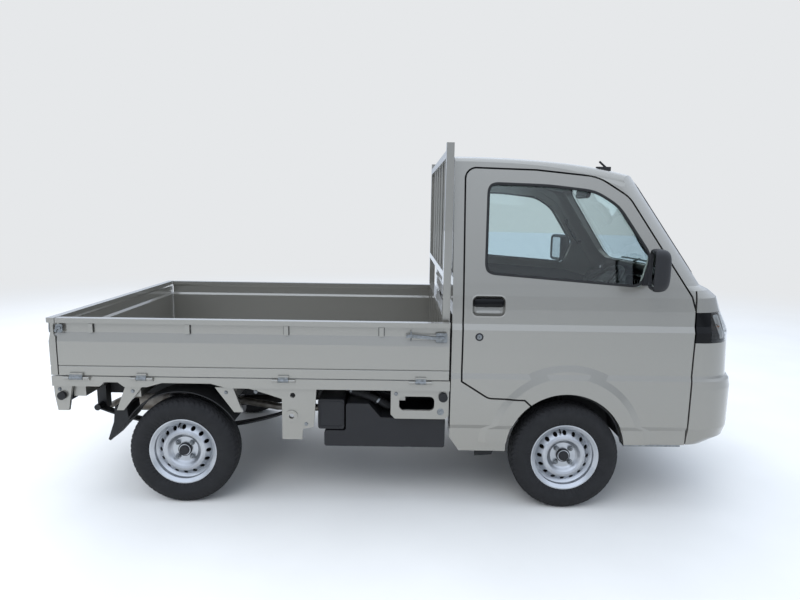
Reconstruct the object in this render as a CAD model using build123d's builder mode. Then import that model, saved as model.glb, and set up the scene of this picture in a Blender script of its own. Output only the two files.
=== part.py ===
from build123d import *
import math
import os

# Kei truck, full size, in millimetres: +X forward, +Y to the vehicle's left, +Z up.
# The origin is on the ground, under the middle of the overall length and width.

os.makedirs("parts", exist_ok=True)

# Clearances
SEAT_GAP = 0.3
DOOR_GAP = 8.5
BEARING_GAP = 0.05

# Axles and wheels
REAR_AXLE_X = -1076.0
FRONT_AXLE_X = 829.0
TYRE_RADIUS = 268.0
TYRE_WIDTH = 145.0
FRONT_TRACK = 1305.0
REAR_TRACK = 1290.0
RIM_SEAT_RADIUS = 152.4
FLANGE_HEIGHT = 16.0
RIM_HALF_WIDTH = 51.0
VENT_COUNT = 16
VENT_RADIUS = 10.5
VENT_CIRCLE = 119.0
LUG_COUNT = 4
LUG_CIRCLE = 50.0
LUG_RADIUS = 10.0
HUB_RADIUS = 34.0
STUB_RADIUS = 15.0

# Cab
CAB_REAR = 250.0
CAB_BOTTOM = 303.0
WALL = 40.0
DOOR_THICKNESS = 45.0
DOOR_SKIN = 12.0
DOOR_REAR = 306.0
DOOR_FRONT = 1413.0
DOOR_BOTTOM = 346.0
PANEL_REAR = DOOR_FRONT + 8.0
COWL_HEIGHT = 1112.0
BUMPER_TOP = 687.0
BULKHEAD = 20.0
FLOOR_Z = 440.0
FLOOR_SHEET = 25.0
DECK_Z = 615.0
RISER_X = 1115.0
RISER_SHEET = 20.0
FLOOR_INSET = 55.0
FLANGE_OUT = 22.0
FLANGE_IN = 20.0
GLASS_DEPTH = 4.0
GLASS = 5.0
DOOR_GLASS_DEPTH = 14.0
WINDOW_CORNER = 32.0
SCREEN_CORNER = 60.0
REAR_WINDOW_Z = 1375.0
REAR_WINDOW_WIDTH = 1000.0
REAR_WINDOW_HEIGHT = 370.0
REAR_WINDOW_CORNER = 45.0
ARCH_X = 820.0
ARCH_Z = 310.0
ARCH_RADIUS = 293.0
# The flare is a shallow cone about the wheel: its radius at one distance from the middle of the
# truck, and how much wider it gets for each millimetre further in
FLARE_RADIUS = 385.0
FLARE_Y = 729.0
FLARE_RUN = 3.8
FLARE_Z = 331.0
FLARE_STAND = 8.5

# Plan sections of the cab from the sill up:
# height, half width, front edge beside the corner, corner radius, bow of the front
CAB_ROWS = [
    (250.0, 718.0, 1640.0, 190.0, 16.0),
    (418.0, 718.0, 1650.0, 190.0, 16.0),
    (440.0, 729.0, 1651.0, 190.0, 16.0),
    (672.0, 729.0, 1656.0, 190.0, 16.0),
    (698.0, 721.0, 1656.0, 190.0, 16.0),
    (912.0, 723.0, 1644.0, 190.0, 16.0),
    (941.0, 712.0, 1638.0, 190.0, 16.0),
    (1011.0, 708.0, 1604.0, 185.0, 18.0),
    (1077.0, 702.0, 1578.0, 170.0, 24.0),
    (1112.0, 697.0, 1530.0, 150.0, 32.0),
    (1135.0, 694.0, 1477.0, 130.0, 42.0),
    (1646.0, 619.0, 1132.0, 120.0, 60.0),
    (1800.0, 596.0, 1031.0, 120.0, 60.0),
]

# Roof sections from the rear forward: place along the truck, rail height, crown above the rail
ROOF_ROWS = [
    (150.0, 1727.0, 38.0),
    (560.0, 1724.0, 38.0),
    (860.0, 1699.0, 36.0),
    (1150.0, 1640.0, 30.0),
    (1300.0, 1592.0, 26.0),
    (1800.0, 1440.0, 24.0),
]
ROOF_HALF_WIDTH = 617.0

# Plan sections of the bumper, same columns as the cab's
BUMPER_ROWS = [
    (346.0, 712.0, 1590.0, 180.0, 12.0),
    (384.0, 718.0, 1672.0, 190.0, 14.0),
    (432.0, 729.0, 1682.0, 192.0, 15.5),
    (634.0, 729.0, 1682.0, 192.0, 15.5),
    (672.0, 728.0, 1674.0, 191.0, 15.0),
    (BUMPER_TOP - SEAT_GAP, 723.0, 1664.0, 190.0, 15.0),
]
BUMPER_WALL = 35.0

# Bed and gates
BED_FRONT = 245.0
BED_REAR = -1650.0
BED_HALF_WIDTH = 735.0
BED_TOP = 650.0
BED_SHEET = 16.0
SIDE_RAIL_TOP = 660.0
SIDE_RAIL_BOTTOM = 610.0
SIDE_RAIL_WIDTH = 42.0
GATE_BOTTOM = 665.0
GATE_TOP = 946.0
TAILGATE_FACE = 1683.0
HINGE_RADIUS = 7.0
HINGE_PIN = 3.0
HINGE_OUT = 744.0
HINGE_Z = 654.0
TAILGATE_HINGE_X = -1690.5
GATE_GAP = 6.0
STAY_OUTER = 722.0
STAY_SHEET = 16.0

# Ladder frame
RAIL_Y = 375.0
RAIL_WIDTH = 50.0
RAIL_HEIGHT = 80.0
RAIL_FRONT_X = 1480.0
RAIL_REAR_X = -1600.0
RAIL_FRONT_Z = FLOOR_Z - RAIL_HEIGHT
RAIL_REAR_Z = 470.0

# Steering and front suspension: the steering axis leans inwards as it rises
PIN_Y = 600.0
PIN_LEAN = math.degrees(math.atan(0.24))
PIN_RADIUS = 22.0

# Steering wheel
DRIVER_Y = -330.0
STEERING_X = 1040.0
STEERING_Z = 1070.0
STEERING_TILT = 50.0
STEERING_RADIUS = 180.0
STEERING_RIM = 14.0


def save(solid, node):
    """Label a finished piece and write it as one STEP file."""
    solid.label = node
    export_step(solid, f"parts/{node}.step")


def both_sides(solid):
    """A piece and its mirror image on the other side of the truck."""
    with BuildPart() as pair:
        add(solid)
        mirror(about=Plane.XZ)
    return pair.part


def other_side(solid):
    """The mirror image alone."""
    return mirror(solid, about=Plane.XZ)


def box(low, high):
    """A block between two corners."""
    size = [b - a for a, b in zip(low, high)]
    middle = [(a + b) / 2 for a, b in zip(low, high)]
    return Pos(*middle) * Box(*size, mode=Mode.PRIVATE)


def rod(start, end, radius):
    """A round bar between two points."""
    line = Vector(*end) - Vector(*start)
    plane = Plane(origin=start, z_dir=line)
    with BuildPart() as bar:
        with BuildSketch(plane):
            Circle(radius)
        extrude(amount=line.length)
    return bar.part


def side_plate(points, outer, thickness, radius=0.0):
    """A plate in the side view, on the right, its outer face at -outer."""
    with BuildPart() as plate:
        with BuildSketch(Plane.XZ.offset(outer)) as outline:
            with BuildLine():
                Polyline(*points, close=True)
            make_face()
            if radius:
                fillet(outline.vertices(), radius)
        extrude(amount=-thickness)
    return plate.part


def plan_section(row, inset):
    """One plan outline: straight sides, round front corners and a bowed front."""
    height, half_width, front, corner, bow = row
    w = half_width - inset
    x = front - inset
    r = corner - inset
    k = r * (1 - math.sqrt(0.5))
    rear = CAB_REAR + inset
    with BuildSketch(Plane.XY.offset(height)) as section:
        with BuildLine():
            Line((rear, w), (rear, -w))
            Line((rear, -w), (x - r, -w))
            ThreePointArc((x - r, -w), (x - k, -w + k), (x, -w + r))
            ThreePointArc((x, -w + r), (x + bow, 0), (x, w - r))
            ThreePointArc((x, w - r), (x - k, w - k), (x - r, w))
            Line((x - r, w), (rear, w))
        make_face()
    return section.sketch


def plan_volume(rows, inset):
    """Straight-sided body between the plan sections."""
    wires = [plan_section(row, inset).faces()[0].outer_wire() for row in rows]
    return Solid.make_loft(wires, ruled=True)


def roof_volume(inset):
    """Everything under the crowned roof, much wider than the cab below its rails."""
    wires = []
    for x, rail, crown in ROOF_ROWS:
        z = rail - inset
        w = ROOF_HALF_WIDTH - inset
        with BuildSketch(Plane.YZ.offset(x)) as section:
            with BuildLine():
                Line((-900, 100), (-900, z - 800))
                Line((-900, z - 800), (-w, z - 42))
                ThreePointArc((-w, z - 42), (-w + 17, z - 9), (-w + 52, z + 3))
                ThreePointArc((-w + 52, z + 3), (0, z + crown), (w - 52, z + 3))
                ThreePointArc((w - 52, z + 3), (w - 17, z - 9), (w, z - 42))
                Line((w, z - 42), (900, z - 800))
                Line((900, z - 800), (900, 100))
                Line((900, 100), (-900, 100))
            make_face()
        wires.append(section.sketch.faces()[0].outer_wire())
    return Solid.make_loft(wires)


def cab_volume(inset):
    """The cab's outside, or a surface that much further in."""
    body = plan_volume(CAB_ROWS, inset)
    roof = roof_volume(inset)
    with BuildPart() as volume:
        add(body)
        add(roof, mode=Mode.INTERSECT)
    return volume.part


def skin(depth, thickness, rows=CAB_ROWS):
    """The layer of the cab's sides and front between two depths, without the roof."""
    outer = plan_volume(rows, depth)
    inner = plan_volume(rows, depth + thickness)
    with BuildPart() as layer:
        add(outer)
        add(inner, mode=Mode.SUBTRACT)
    return layer.part


def corner(outline, u, v):
    """The outline's corner nearest to a place in its own plane."""
    return outline.vertices().sort_by_distance((u, v, 0))[0]


def side_prism(sketch, depth=900.0):
    """A side-view outline carried through the whole width."""
    return extrude(sketch, amount=depth, both=True, mode=Mode.PRIVATE)


outside = cab_volume(0)
wall_inside = cab_volume(WALL)
side_outside = plan_volume(CAB_ROWS, 0)
right_half = box((0, -900, 0), (3000, 0, 2000))
below_door = box((0, -900, 0), (3000, 900, DOOR_BOTTOM))

# Side-view outlines

with BuildSketch(Plane.XZ) as door_outline:
    with BuildLine():
        Polyline(
            (DOOR_REAR, 1678),
            (640, 1670),
            (935, 1642),
            (1085, 1548),
            (1392, 1082),
            (DOOR_FRONT, 1015),
            (DOOR_FRONT, DOOR_BOTTOM),
            (700, DOOR_BOTTOM),
            (700, 540),
            (650, 540),
            (612, 574),
            (436, 579),
            (DOOR_REAR, 661),
            close=True,
        )
    make_face()
    fillet(corner(door_outline, DOOR_REAR, 1678), 48)
    fillet(corner(door_outline, 935, 1642), 220)
    fillet(corner(door_outline, 1085, 1548), 150)
    fillet(corner(door_outline, 436, 579), 60)

with BuildSketch(Plane.XZ) as door_opening:
    add(door_outline.sketch_local)
    offset(amount=DOOR_GAP, kind=Kind.INTERSECTION)

with BuildSketch(Plane.XZ) as door_frame_outline:
    add(door_outline.sketch_local)
    offset(amount=-DOOR_SKIN, kind=Kind.INTERSECTION)

with BuildSketch(Plane.XZ) as window_outline:
    with BuildLine():
        Polyline(
            (412, 1612),
            (700, 1604),
            (925, 1580),
            (1040, 1510),
            (1200, 1272),
            (1152, 1127),
            (404, 1182),
            close=True,
        )
    make_face()
    fillet(window_outline.vertices(), WINDOW_CORNER)

with BuildSketch(Plane.XZ) as window_pane:
    add(window_outline.sketch_local)
    offset(amount=-SEAT_GAP)

with BuildSketch(Plane.YZ.offset(900)) as screen_outline:
    with BuildLine():
        Polyline((-602, 1172), (-548, 1632), (548, 1632), (602, 1172), close=True)
    make_face()
    fillet(screen_outline.vertices(), SCREEN_CORNER)

with BuildSketch(Plane.YZ.offset(900)) as screen_pane:
    add(screen_outline.sketch_local)
    offset(amount=-SEAT_GAP)

with BuildPart() as arch_cut:
    with BuildSketch(Plane.XZ):
        with Locations((ARCH_X, ARCH_Z)):
            Circle(ARCH_RADIUS)
    extrude(amount=900, both=True)

# Raised flare round the front arch, on the lower side panels
flare_rows = [(r[0], r[1] + FLARE_STAND, *r[2:]) for r in CAB_ROWS[:7]]
flare_surface = plan_volume(flare_rows, 0)
flare_back = plan_volume(CAB_ROWS[:8], 20)
with BuildPart() as flare_disc:
    for y in (FLARE_Y - 30, FLARE_Y + FLARE_STAND + 2):
        with BuildSketch(Plane.XZ.offset(y)):
            with Locations((ARCH_X, FLARE_Z)):
                Circle(FLARE_RADIUS + (FLARE_Y - y) * FLARE_RUN)
    loft()
flare_discs = both_sides(flare_disc.part)
with BuildPart() as flare:
    add(flare_surface)
    add(flare_discs, mode=Mode.INTERSECT)
    add(flare_back, mode=Mode.SUBTRACT)
    add(below_door, mode=Mode.SUBTRACT)

# Inner layer behind the front panel and the shelf under the windscreen
front_rows = CAB_ROWS[:12]
bulkhead_skin = skin(WALL + SEAT_GAP, BULKHEAD - SEAT_GAP, front_rows)
cowl_skin = skin(WALL - 1, BULKHEAD + 1, front_rows)
with BuildPart() as bulkhead:
    add(bulkhead_skin)
    add(box((PANEL_REAR + 4, -900, FLOOR_Z), (3000, 900, 1150)), mode=Mode.INTERSECT)
with BuildPart() as cowl:
    add(cowl_skin)
    add(box((PANEL_REAR + 4, -900, COWL_HEIGHT), (3000, 900, 1160)), mode=Mode.INTERSECT)

# Stepped floor: foot well, riser and the deck under the seats
with BuildPart() as floor_steps:
    add(box((RISER_X, -900, FLOOR_Z), (3000, 900, FLOOR_Z + FLOOR_SHEET)))
    add(box((RISER_X, -900, FLOOR_Z), (RISER_X + RISER_SHEET, 900, DECK_Z + FLOOR_SHEET)))
    add(box((CAB_REAR + WALL - 5, -900, DECK_Z), (RISER_X + RISER_SHEET, 900, DECK_Z + FLOOR_SHEET)))
floor_plan = plan_volume(CAB_ROWS[:7], FLOOR_INSET)
with BuildPart() as floor:
    add(floor_plan)
    add(floor_steps.part, mode=Mode.INTERSECT)

# Flange behind the edge of each door opening, where the closed door rests
flange_ends = box((0, -900, 590), (1390, -562, 2000))
with BuildSketch(Plane.XZ) as flange_outline:
    add(door_outline.sketch_local)
    offset(amount=FLANGE_OUT, kind=Kind.INTERSECTION)
with BuildSketch(Plane.XZ) as flange_hole:
    add(door_outline.sketch_local)
    offset(amount=-FLANGE_IN, kind=Kind.INTERSECTION)
flange_prism = side_prism(flange_outline.sketch)
flange_hole_prism = side_prism(flange_hole.sketch)
opening_prism = side_prism(door_opening.sketch)
flange_skin = skin(DOOR_THICKNESS + SEAT_GAP, FLOOR_INSET + 2 - DOOR_THICKNESS - SEAT_GAP)
web_skin = skin(WALL - 1, FLOOR_INSET + 3 - WALL)
with BuildPart() as door_flange:
    add(flange_skin)
    add(flange_ends, mode=Mode.INTERSECT)
    add(flange_prism, mode=Mode.INTERSECT)
    add(flange_hole_prism, mode=Mode.SUBTRACT)
with BuildPart() as flange_web:
    add(web_skin)
    add(flange_ends, mode=Mode.INTERSECT)
    add(flange_prism, mode=Mode.INTERSECT)
    add(opening_prism, mode=Mode.SUBTRACT)

with BuildPart() as right_flange:
    add(door_flange.part)
    add(flange_web.part)
door_seat = both_sides(right_flange.part)

# Cab shell: roof, pillars, back wall, lower quarters, bulkhead and floor
with BuildPart() as cab_shell:
    add(outside)
    add(flare.part)
    add(wall_inside, mode=Mode.SUBTRACT)
    add(box((0, -900, 0), (3000, 900, CAB_BOTTOM)), mode=Mode.SUBTRACT)
    add(box((PANEL_REAR - DOOR_GAP, -900, 0), (3000, 900, COWL_HEIGHT)), mode=Mode.SUBTRACT)
    add(box((ARCH_X, -900, 0), (3000, 900, DOOR_BOTTOM)), mode=Mode.SUBTRACT)
    add(opening_prism, mode=Mode.SUBTRACT)
    add(door_seat)
    extrude(screen_outline.sketch, amount=900, mode=Mode.SUBTRACT)
    with BuildSketch(Plane.YZ.offset(CAB_REAR - 20)):
        with Locations((0, REAR_WINDOW_Z)):
            RectangleRounded(REAR_WINDOW_WIDTH, REAR_WINDOW_HEIGHT, REAR_WINDOW_CORNER)
    extrude(amount=80, mode=Mode.SUBTRACT)
    add(box((CAB_REAR - 10, -600, 0), (CAB_REAR + 60, 600, 600)), mode=Mode.SUBTRACT)
    add(bulkhead.part)
    add(cowl.part)
    add(floor.part)
    add(box((CAB_REAR + WALL - 10, -680, DECK_Z), (CAB_REAR + WALL + 7, 680, DECK_Z + FLOOR_SHEET)))
    add(arch_cut.part, mode=Mode.SUBTRACT)
    with BuildSketch(Plane.XZ):
        with BuildLine():
            Polyline((CAB_REAR - 20, CAB_BOTTOM - 5), (300, CAB_BOTTOM - 5), (CAB_REAR - 20, 400), close=True)
        make_face()
    extrude(amount=900, both=True, mode=Mode.SUBTRACT)
save(cab_shell.part, "cab_shell")

# Windscreen and rear window
with BuildPart() as screen_prism:
    extrude(screen_pane.sketch, amount=900)
glass_skin = skin(GLASS_DEPTH, GLASS, CAB_ROWS[10:])
with BuildPart() as cab_glass:
    add(glass_skin)
    add(screen_prism.part, mode=Mode.INTERSECT)
    with BuildSketch(Plane.YZ.offset(CAB_REAR + 12)):
        with Locations((0, REAR_WINDOW_Z)):
            RectangleRounded(
                REAR_WINDOW_WIDTH - 2 * SEAT_GAP,
                REAR_WINDOW_HEIGHT - 2 * SEAT_GAP,
                REAR_WINDOW_CORNER,
            )
    extrude(amount=GLASS)
save(cab_glass.part, "cab_glass")

# Front panel, with a pocket at each end for a headlamp and two slots between them
LAMP_LOW = 863.0
LAMP_HIGH = 1009.0
LAMP_INNER_Y = 430.0
LAMP_LENS_X = 1497.0
LAMP_LENS = 6.0
LAMP_BACK = 34.0
SLOT_HALF = 390.0
SLOT_HEIGHT = 20.0
SLOT_LOWS = [905, 950]
lamp_box = both_sides(box((PANEL_REAR - 40, -900, LAMP_LOW), (3000, -LAMP_INNER_Y, LAMP_HIGH)))
lamp_room = both_sides(
    box(
        (PANEL_REAR - 60, -901, LAMP_LOW - SEAT_GAP),
        (3000, -LAMP_INNER_Y + SEAT_GAP, LAMP_HIGH + SEAT_GAP),
    )
)
front_skin = skin(0, WALL, front_rows)
with BuildPart() as front_layer:
    add(front_skin)
    add(box((PANEL_REAR, -900, BUMPER_TOP), (3000, 900, COWL_HEIGHT - SEAT_GAP)), mode=Mode.INTERSECT)
with BuildPart() as front_panel:
    add(front_layer.part)
    add(lamp_room, mode=Mode.SUBTRACT)
    for low in SLOT_LOWS:
        add(box((1600, -SLOT_HALF, low), (1700, SLOT_HALF, low + SLOT_HEIGHT)), mode=Mode.SUBTRACT)
save(front_panel.part, "front_panel")

# Headlamps: clear cover round the corner, dark bowl and rear piece behind it
lamp_rows = CAB_ROWS[4:10]
lens_skin = skin(0, LAMP_LENS, lamp_rows)
bowl_skin = skin(LAMP_LENS + SEAT_GAP, LAMP_BACK - LAMP_LENS - SEAT_GAP, lamp_rows)
cover_skin = skin(0, LAMP_LENS + SEAT_GAP, lamp_rows)
lamp_hollow = both_sides(
    box((LAMP_LENS_X + 6, -900, LAMP_LOW + 6), (3000, -LAMP_INNER_Y - 6, LAMP_HIGH - 6))
)
with BuildPart() as headlamp_lenses:
    add(lens_skin)
    add(lamp_box, mode=Mode.INTERSECT)
    add(box((0, -900, 0), (LAMP_LENS_X, 900, 2000)), mode=Mode.SUBTRACT)
save(headlamp_lenses.part, "headlamp_lenses")
with BuildPart() as lamp_bowl:
    add(bowl_skin)
    add(lamp_hollow, mode=Mode.INTERSECT)
with BuildPart() as lamp_cover:
    add(cover_skin)
    add(box((LAMP_LENS_X - SEAT_GAP, -900, 0), (3000, 900, 2000)), mode=Mode.INTERSECT)
with BuildPart() as headlamp_housings:
    add(front_layer.part)
    add(lamp_box, mode=Mode.INTERSECT)
    add(lamp_cover.part, mode=Mode.SUBTRACT)
    add(lamp_bowl.part, mode=Mode.SUBTRACT)
save(headlamp_housings.part, "headlamp_housings")

# Bumper with a wide lower intake and its slats
INTAKE_HALF = 430.0
INTAKE_LOW = 424.0
INTAKE_HIGH = 520.0
SLAT_LOWS = [445, 470, 495]
SLAT_HEIGHT = 7.0
bumper_inner_rows = [
    (BUMPER_ROWS[0][0] - 10,) + BUMPER_ROWS[0][1:],
    *BUMPER_ROWS[1:5],
    (BUMPER_TOP + 10,) + BUMPER_ROWS[5][1:],
]
bumper_outside = plan_volume(BUMPER_ROWS, 0)
bumper_inside = plan_volume(bumper_inner_rows, BUMPER_WALL)
with BuildPart() as front_bumper:
    add(bumper_outside)
    add(bumper_inside, mode=Mode.SUBTRACT)
    add(box((0, -900, 0), (PANEL_REAR, 900, 2000)), mode=Mode.SUBTRACT)
    add(box((1500, -INTAKE_HALF, INTAKE_LOW), (1800, INTAKE_HALF, INTAKE_HIGH)), mode=Mode.SUBTRACT)
    for low in SLAT_LOWS:
        add(box((1655, -INTAKE_HALF - 5, low), (1670, INTAKE_HALF + 5, low + SLAT_HEIGHT)))
save(front_bumper.part, "front_bumper")

# Right door: pressed skin with a rebated frame behind it, handle bowl and window
HANDLE_X = 424.0
HANDLE_Z = 1026.0
HANDLE_LENGTH = 158.0
HANDLE_HEIGHT = 98.0
HANDLE_FACE = 709.0
BOWL_FLOOR = 682.0
door_prism = side_prism(door_outline.sketch)
door_frame_prism = side_prism(door_frame_outline.sketch)
window_prism = side_prism(window_outline.sketch)
pane_prism = side_prism(window_pane.sketch)
outer_skin = skin(0, DOOR_SKIN)
frame_skin = skin(DOOR_SKIN, DOOR_THICKNESS - DOOR_SKIN)
pane_skin = skin(DOOR_GLASS_DEPTH, GLASS)
door_core = plan_volume(CAB_ROWS, DOOR_SKIN)
with BuildPart() as door_flare:
    add(flare.part)
    add(door_core, mode=Mode.SUBTRACT)
with BuildPart() as door_skin:
    add(outer_skin)
    add(door_flare.part)
    add(right_half, mode=Mode.INTERSECT)
    add(door_prism, mode=Mode.INTERSECT)
with BuildPart() as door_frame:
    add(frame_skin)
    add(right_half, mode=Mode.INTERSECT)
    add(door_frame_prism, mode=Mode.INTERSECT)
with BuildPart() as door_right:
    add(door_skin.part)
    add(door_frame.part)
    add(arch_cut.part, mode=Mode.SUBTRACT)
    add(window_prism, mode=Mode.SUBTRACT)
    with BuildSketch(Plane.XZ.offset(760)):
        with Locations((HANDLE_X, HANDLE_Z)):
            RectangleRounded(HANDLE_LENGTH, HANDLE_HEIGHT, 30)
    extrude(amount=BOWL_FLOOR - 760, mode=Mode.SUBTRACT)
save(door_right.part, "door_right")
save(other_side(door_right.part), "door_left")

with BuildPart() as door_right_glass:
    add(pane_skin)
    add(right_half, mode=Mode.INTERSECT)
    add(pane_prism, mode=Mode.INTERSECT)
save(door_right_glass.part, "door_right_glass")
save(other_side(door_right_glass.part), "door_left_glass")

# Mirror and door handle: dark plastic pieces carried by each door
# Mirror head: distance out, middle, length and height of each section; its outer end is swept back
MIRROR_SECTIONS = [
    (755.0, (1193.0, 1226.0), 70.0, 176.0, 26.0),
    (830.0, (1175.0, 1224.0), 80.0, 190.0, 30.0),
    (905.0, (1157.0, 1222.0), 66.0, 168.0, 28.0),
]
MIRROR_SWEEP = 0.24
with BuildPart() as mirror_head:
    for y, middle, length, height, corner_radius in MIRROR_SECTIONS:
        with BuildSketch(Plane.XZ.offset(y)):
            with Locations(middle):
                RectangleRounded(length, height, corner_radius)
    loft()
    glass_face = Plane(
        origin=(1146, -830, 1223),
        x_dir=(MIRROR_SWEEP, 1, 0),
        z_dir=(-1, MIRROR_SWEEP, 0),
    )
    with BuildSketch(glass_face):
        RectangleRounded(122, 148, 22)
    extrude(amount=40, mode=Mode.SUBTRACT)
mirror_arm = rod((1224, -660, 1175), (1200, -765, 1195), 14)
sail_plate = side_plate([(1150, 1138), (1268, 1138), (1216, 1268), (1194, 1262)], 850, 300)
sail_skin = skin(-6, 6, CAB_ROWS[10:])
with BuildPart() as mirror_sail:
    add(sail_skin)
    add(sail_plate, mode=Mode.INTERSECT)
with BuildPart() as door_right_trim:
    add(mirror_head.part)
    add(mirror_arm)
    add(side_outside, mode=Mode.SUBTRACT)
    add(mirror_sail.part)
    with BuildSketch(Plane.XZ.offset(HANDLE_FACE)):
        with Locations((HANDLE_X, HANDLE_Z + 16)):
            RectangleRounded(140, 34, 12)
    extrude(amount=BOWL_FLOOR + SEAT_GAP - HANDLE_FACE)
save(door_right_trim.part, "door_right_trim")
save(other_side(door_right_trim.part), "door_left_trim")

# Instrument panel and steering column
dash_room = plan_volume(CAB_ROWS, WALL + BULKHEAD + SEAT_GAP)
with BuildPart() as dashboard:
    add(dash_room)
    with BuildSketch(Plane.XZ) as dash_side:
        with BuildLine():
            Polyline((1292, 1010), (1322, 1078), (1380, 1092), (1650, 1092), (1650, 760), (1400, 720),
                     (1330, 800), (1345, 930), close=True)
        make_face()
        fillet(dash_side.vertices().sort_by(Axis.X)[0:3], 14)
    extrude(amount=900, both=True, mode=Mode.INTERSECT)
save(dashboard.part, "dashboard")

tilt = math.radians(STEERING_TILT)
column_dir = Vector(-math.cos(tilt), 0, math.sin(tilt))
wheel_centre = Vector(STEERING_X, DRIVER_Y, STEERING_Z)
wheel_plane = Plane(origin=wheel_centre, z_dir=column_dir, x_dir=(0, 1, 0))
HUB_DEPTH = 55.0
column_top = wheel_centre - column_dir * (HUB_DEPTH + SEAT_GAP)
column_end = wheel_centre - column_dir * 420
column_foot = wheel_centre - column_dir * 860
column_cover = rod(tuple(column_top), tuple(column_end), 24)
column_shaft = rod(tuple(column_end), tuple(column_foot), 11)
with BuildPart() as steering_column:
    add(column_cover)
    add(column_shaft)
    add(box((0, -900, 0), (3000, 900, FLOOR_Z + FLOOR_SHEET + SEAT_GAP)), mode=Mode.SUBTRACT)
save(steering_column.part, "steering_column")
with BuildPart() as steering_wheel:
    with BuildSketch(Plane(origin=wheel_centre, z_dir=(0, 1, 0), x_dir=column_dir)):
        with Locations((0, STEERING_RADIUS)):
            Circle(STEERING_RIM)
    revolve(axis=Axis(wheel_centre, column_dir))
    with BuildSketch(wheel_plane.offset(-HUB_DEPTH)):
        Circle(38)
    with BuildSketch(wheel_plane.offset(-8)):
        Circle(62)
    loft()
    with BuildSketch(wheel_plane.offset(-22)):
        with PolarLocations(0, 3, start_angle=90):
            with Locations((STEERING_RADIUS / 2 + 12, 0)):
                Rectangle(STEERING_RADIUS - 36, 34)
    extrude(amount=16)
save(steering_wheel.part, "steering_wheel")

# Seats: two cushions on the deck and two backs with their headrests
SEAT_Y = 330.0
SEAT_HALF = 240.0
CUSHION_TOP = 790.0
SEAT_REAR = CAB_REAR + WALL + SEAT_GAP
with BuildPart() as cushion:
    with BuildSketch(Plane.XZ.offset(SEAT_Y - SEAT_HALF)) as cushion_side:
        with BuildLine():
            Polyline((420, DECK_Z + FLOOR_SHEET + SEAT_GAP), (880, DECK_Z + FLOOR_SHEET + SEAT_GAP),
                     (900, 740), (885, CUSHION_TOP + 8), (430, CUSHION_TOP - 12), close=True)
        make_face()
        fillet(cushion_side.vertices(), 18)
    extrude(amount=2 * SEAT_HALF)
save(both_sides(cushion.part), "seat_cushions")
with BuildPart() as seat_back:
    with BuildSketch(Plane.XZ.offset(SEAT_Y - SEAT_HALF + 10)) as back_side:
        with BuildLine():
            Polyline((SEAT_REAR, 790), (428, 782), (412, 900), (352, 1340), (SEAT_REAR, 1340), close=True)
        make_face()
        fillet(back_side.vertices(), 16)
    extrude(amount=2 * SEAT_HALF - 20)
    with BuildSketch(Plane.XZ.offset(SEAT_Y - 130)) as rest_side:
        with BuildLine():
            Polyline((SEAT_REAR, 1335), (350, 1335), (372, 1365), (360, 1500), (300, 1500), close=True)
        make_face()
        fillet(rest_side.vertices(), 14)
    extrude(amount=260)
save(both_sides(seat_back.part), "seat_backs")

# Ladder frame with a step up behind the cab
with BuildPart() as frame_rail:
    with BuildSketch(Plane.XZ.offset(RAIL_Y + RAIL_WIDTH / 2)):
        with BuildLine():
            Polyline(
                (RAIL_FRONT_X, RAIL_FRONT_Z),
                (345, RAIL_FRONT_Z),
                (160, RAIL_REAR_Z),
                (RAIL_REAR_X, RAIL_REAR_Z),
                (RAIL_REAR_X, RAIL_REAR_Z + RAIL_HEIGHT),
                (140, RAIL_REAR_Z + RAIL_HEIGHT),
                (325, RAIL_FRONT_Z + RAIL_HEIGHT),
                (RAIL_FRONT_X, RAIL_FRONT_Z + RAIL_HEIGHT),
                close=True,
            )
        make_face()
    extrude(amount=-RAIL_WIDTH)
# Cross members: place along the truck, length, underside
CROSS_MEMBERS = [
    (1400, 50, 375),
    (880, 50, 370),
    (-40, 50, 484),
    (-560, 50, 484),
    (-1290, 50, 484),
    (-1580, 50, 484),
]
frame_pair = both_sides(frame_rail.part)
with BuildPart() as frame_rails:
    add(frame_pair)
    for x, length, low in CROSS_MEMBERS:
        add(box((x, -RAIL_Y, low), (x + length, RAIL_Y, low + 52)))
save(frame_rails.part, "frame_rails")

# Bed floor: ribbed deck, side rails, rear sill and the cross bearers that rest on the frame
FRAME_TOP = RAIL_REAR_Z + RAIL_HEIGHT
BEARER_HALF = 700.0
SIDE_HINGES = [(-1621, -1496), (-1299, -1190), (-616, -505), (47, 158)]
REAR_HINGES = [(-560, -450), (-55, 55), (450, 560)]
side_rail = side_plate(
    [
        (BED_REAR - 33, SIDE_RAIL_TOP),
        (BED_REAR - 33, SIDE_RAIL_BOTTOM),
        (-1454, SIDE_RAIL_BOTTOM),
        (-1432, SIDE_RAIL_BOTTOM + 22),
        (-1365, SIDE_RAIL_BOTTOM + 22),
        (-1335, SIDE_RAIL_BOTTOM),
        (-1226, SIDE_RAIL_BOTTOM),
        (-1150, SIDE_RAIL_BOTTOM + 22),
        (-915, SIDE_RAIL_BOTTOM + 22),
        (-834, SIDE_RAIL_BOTTOM),
        (BED_FRONT, SIDE_RAIL_BOTTOM),
        (BED_FRONT, SIDE_RAIL_TOP),
    ],
    BED_HALF_WIDTH,
    SIDE_RAIL_WIDTH,
)
side_rails = both_sides(side_rail)
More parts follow.
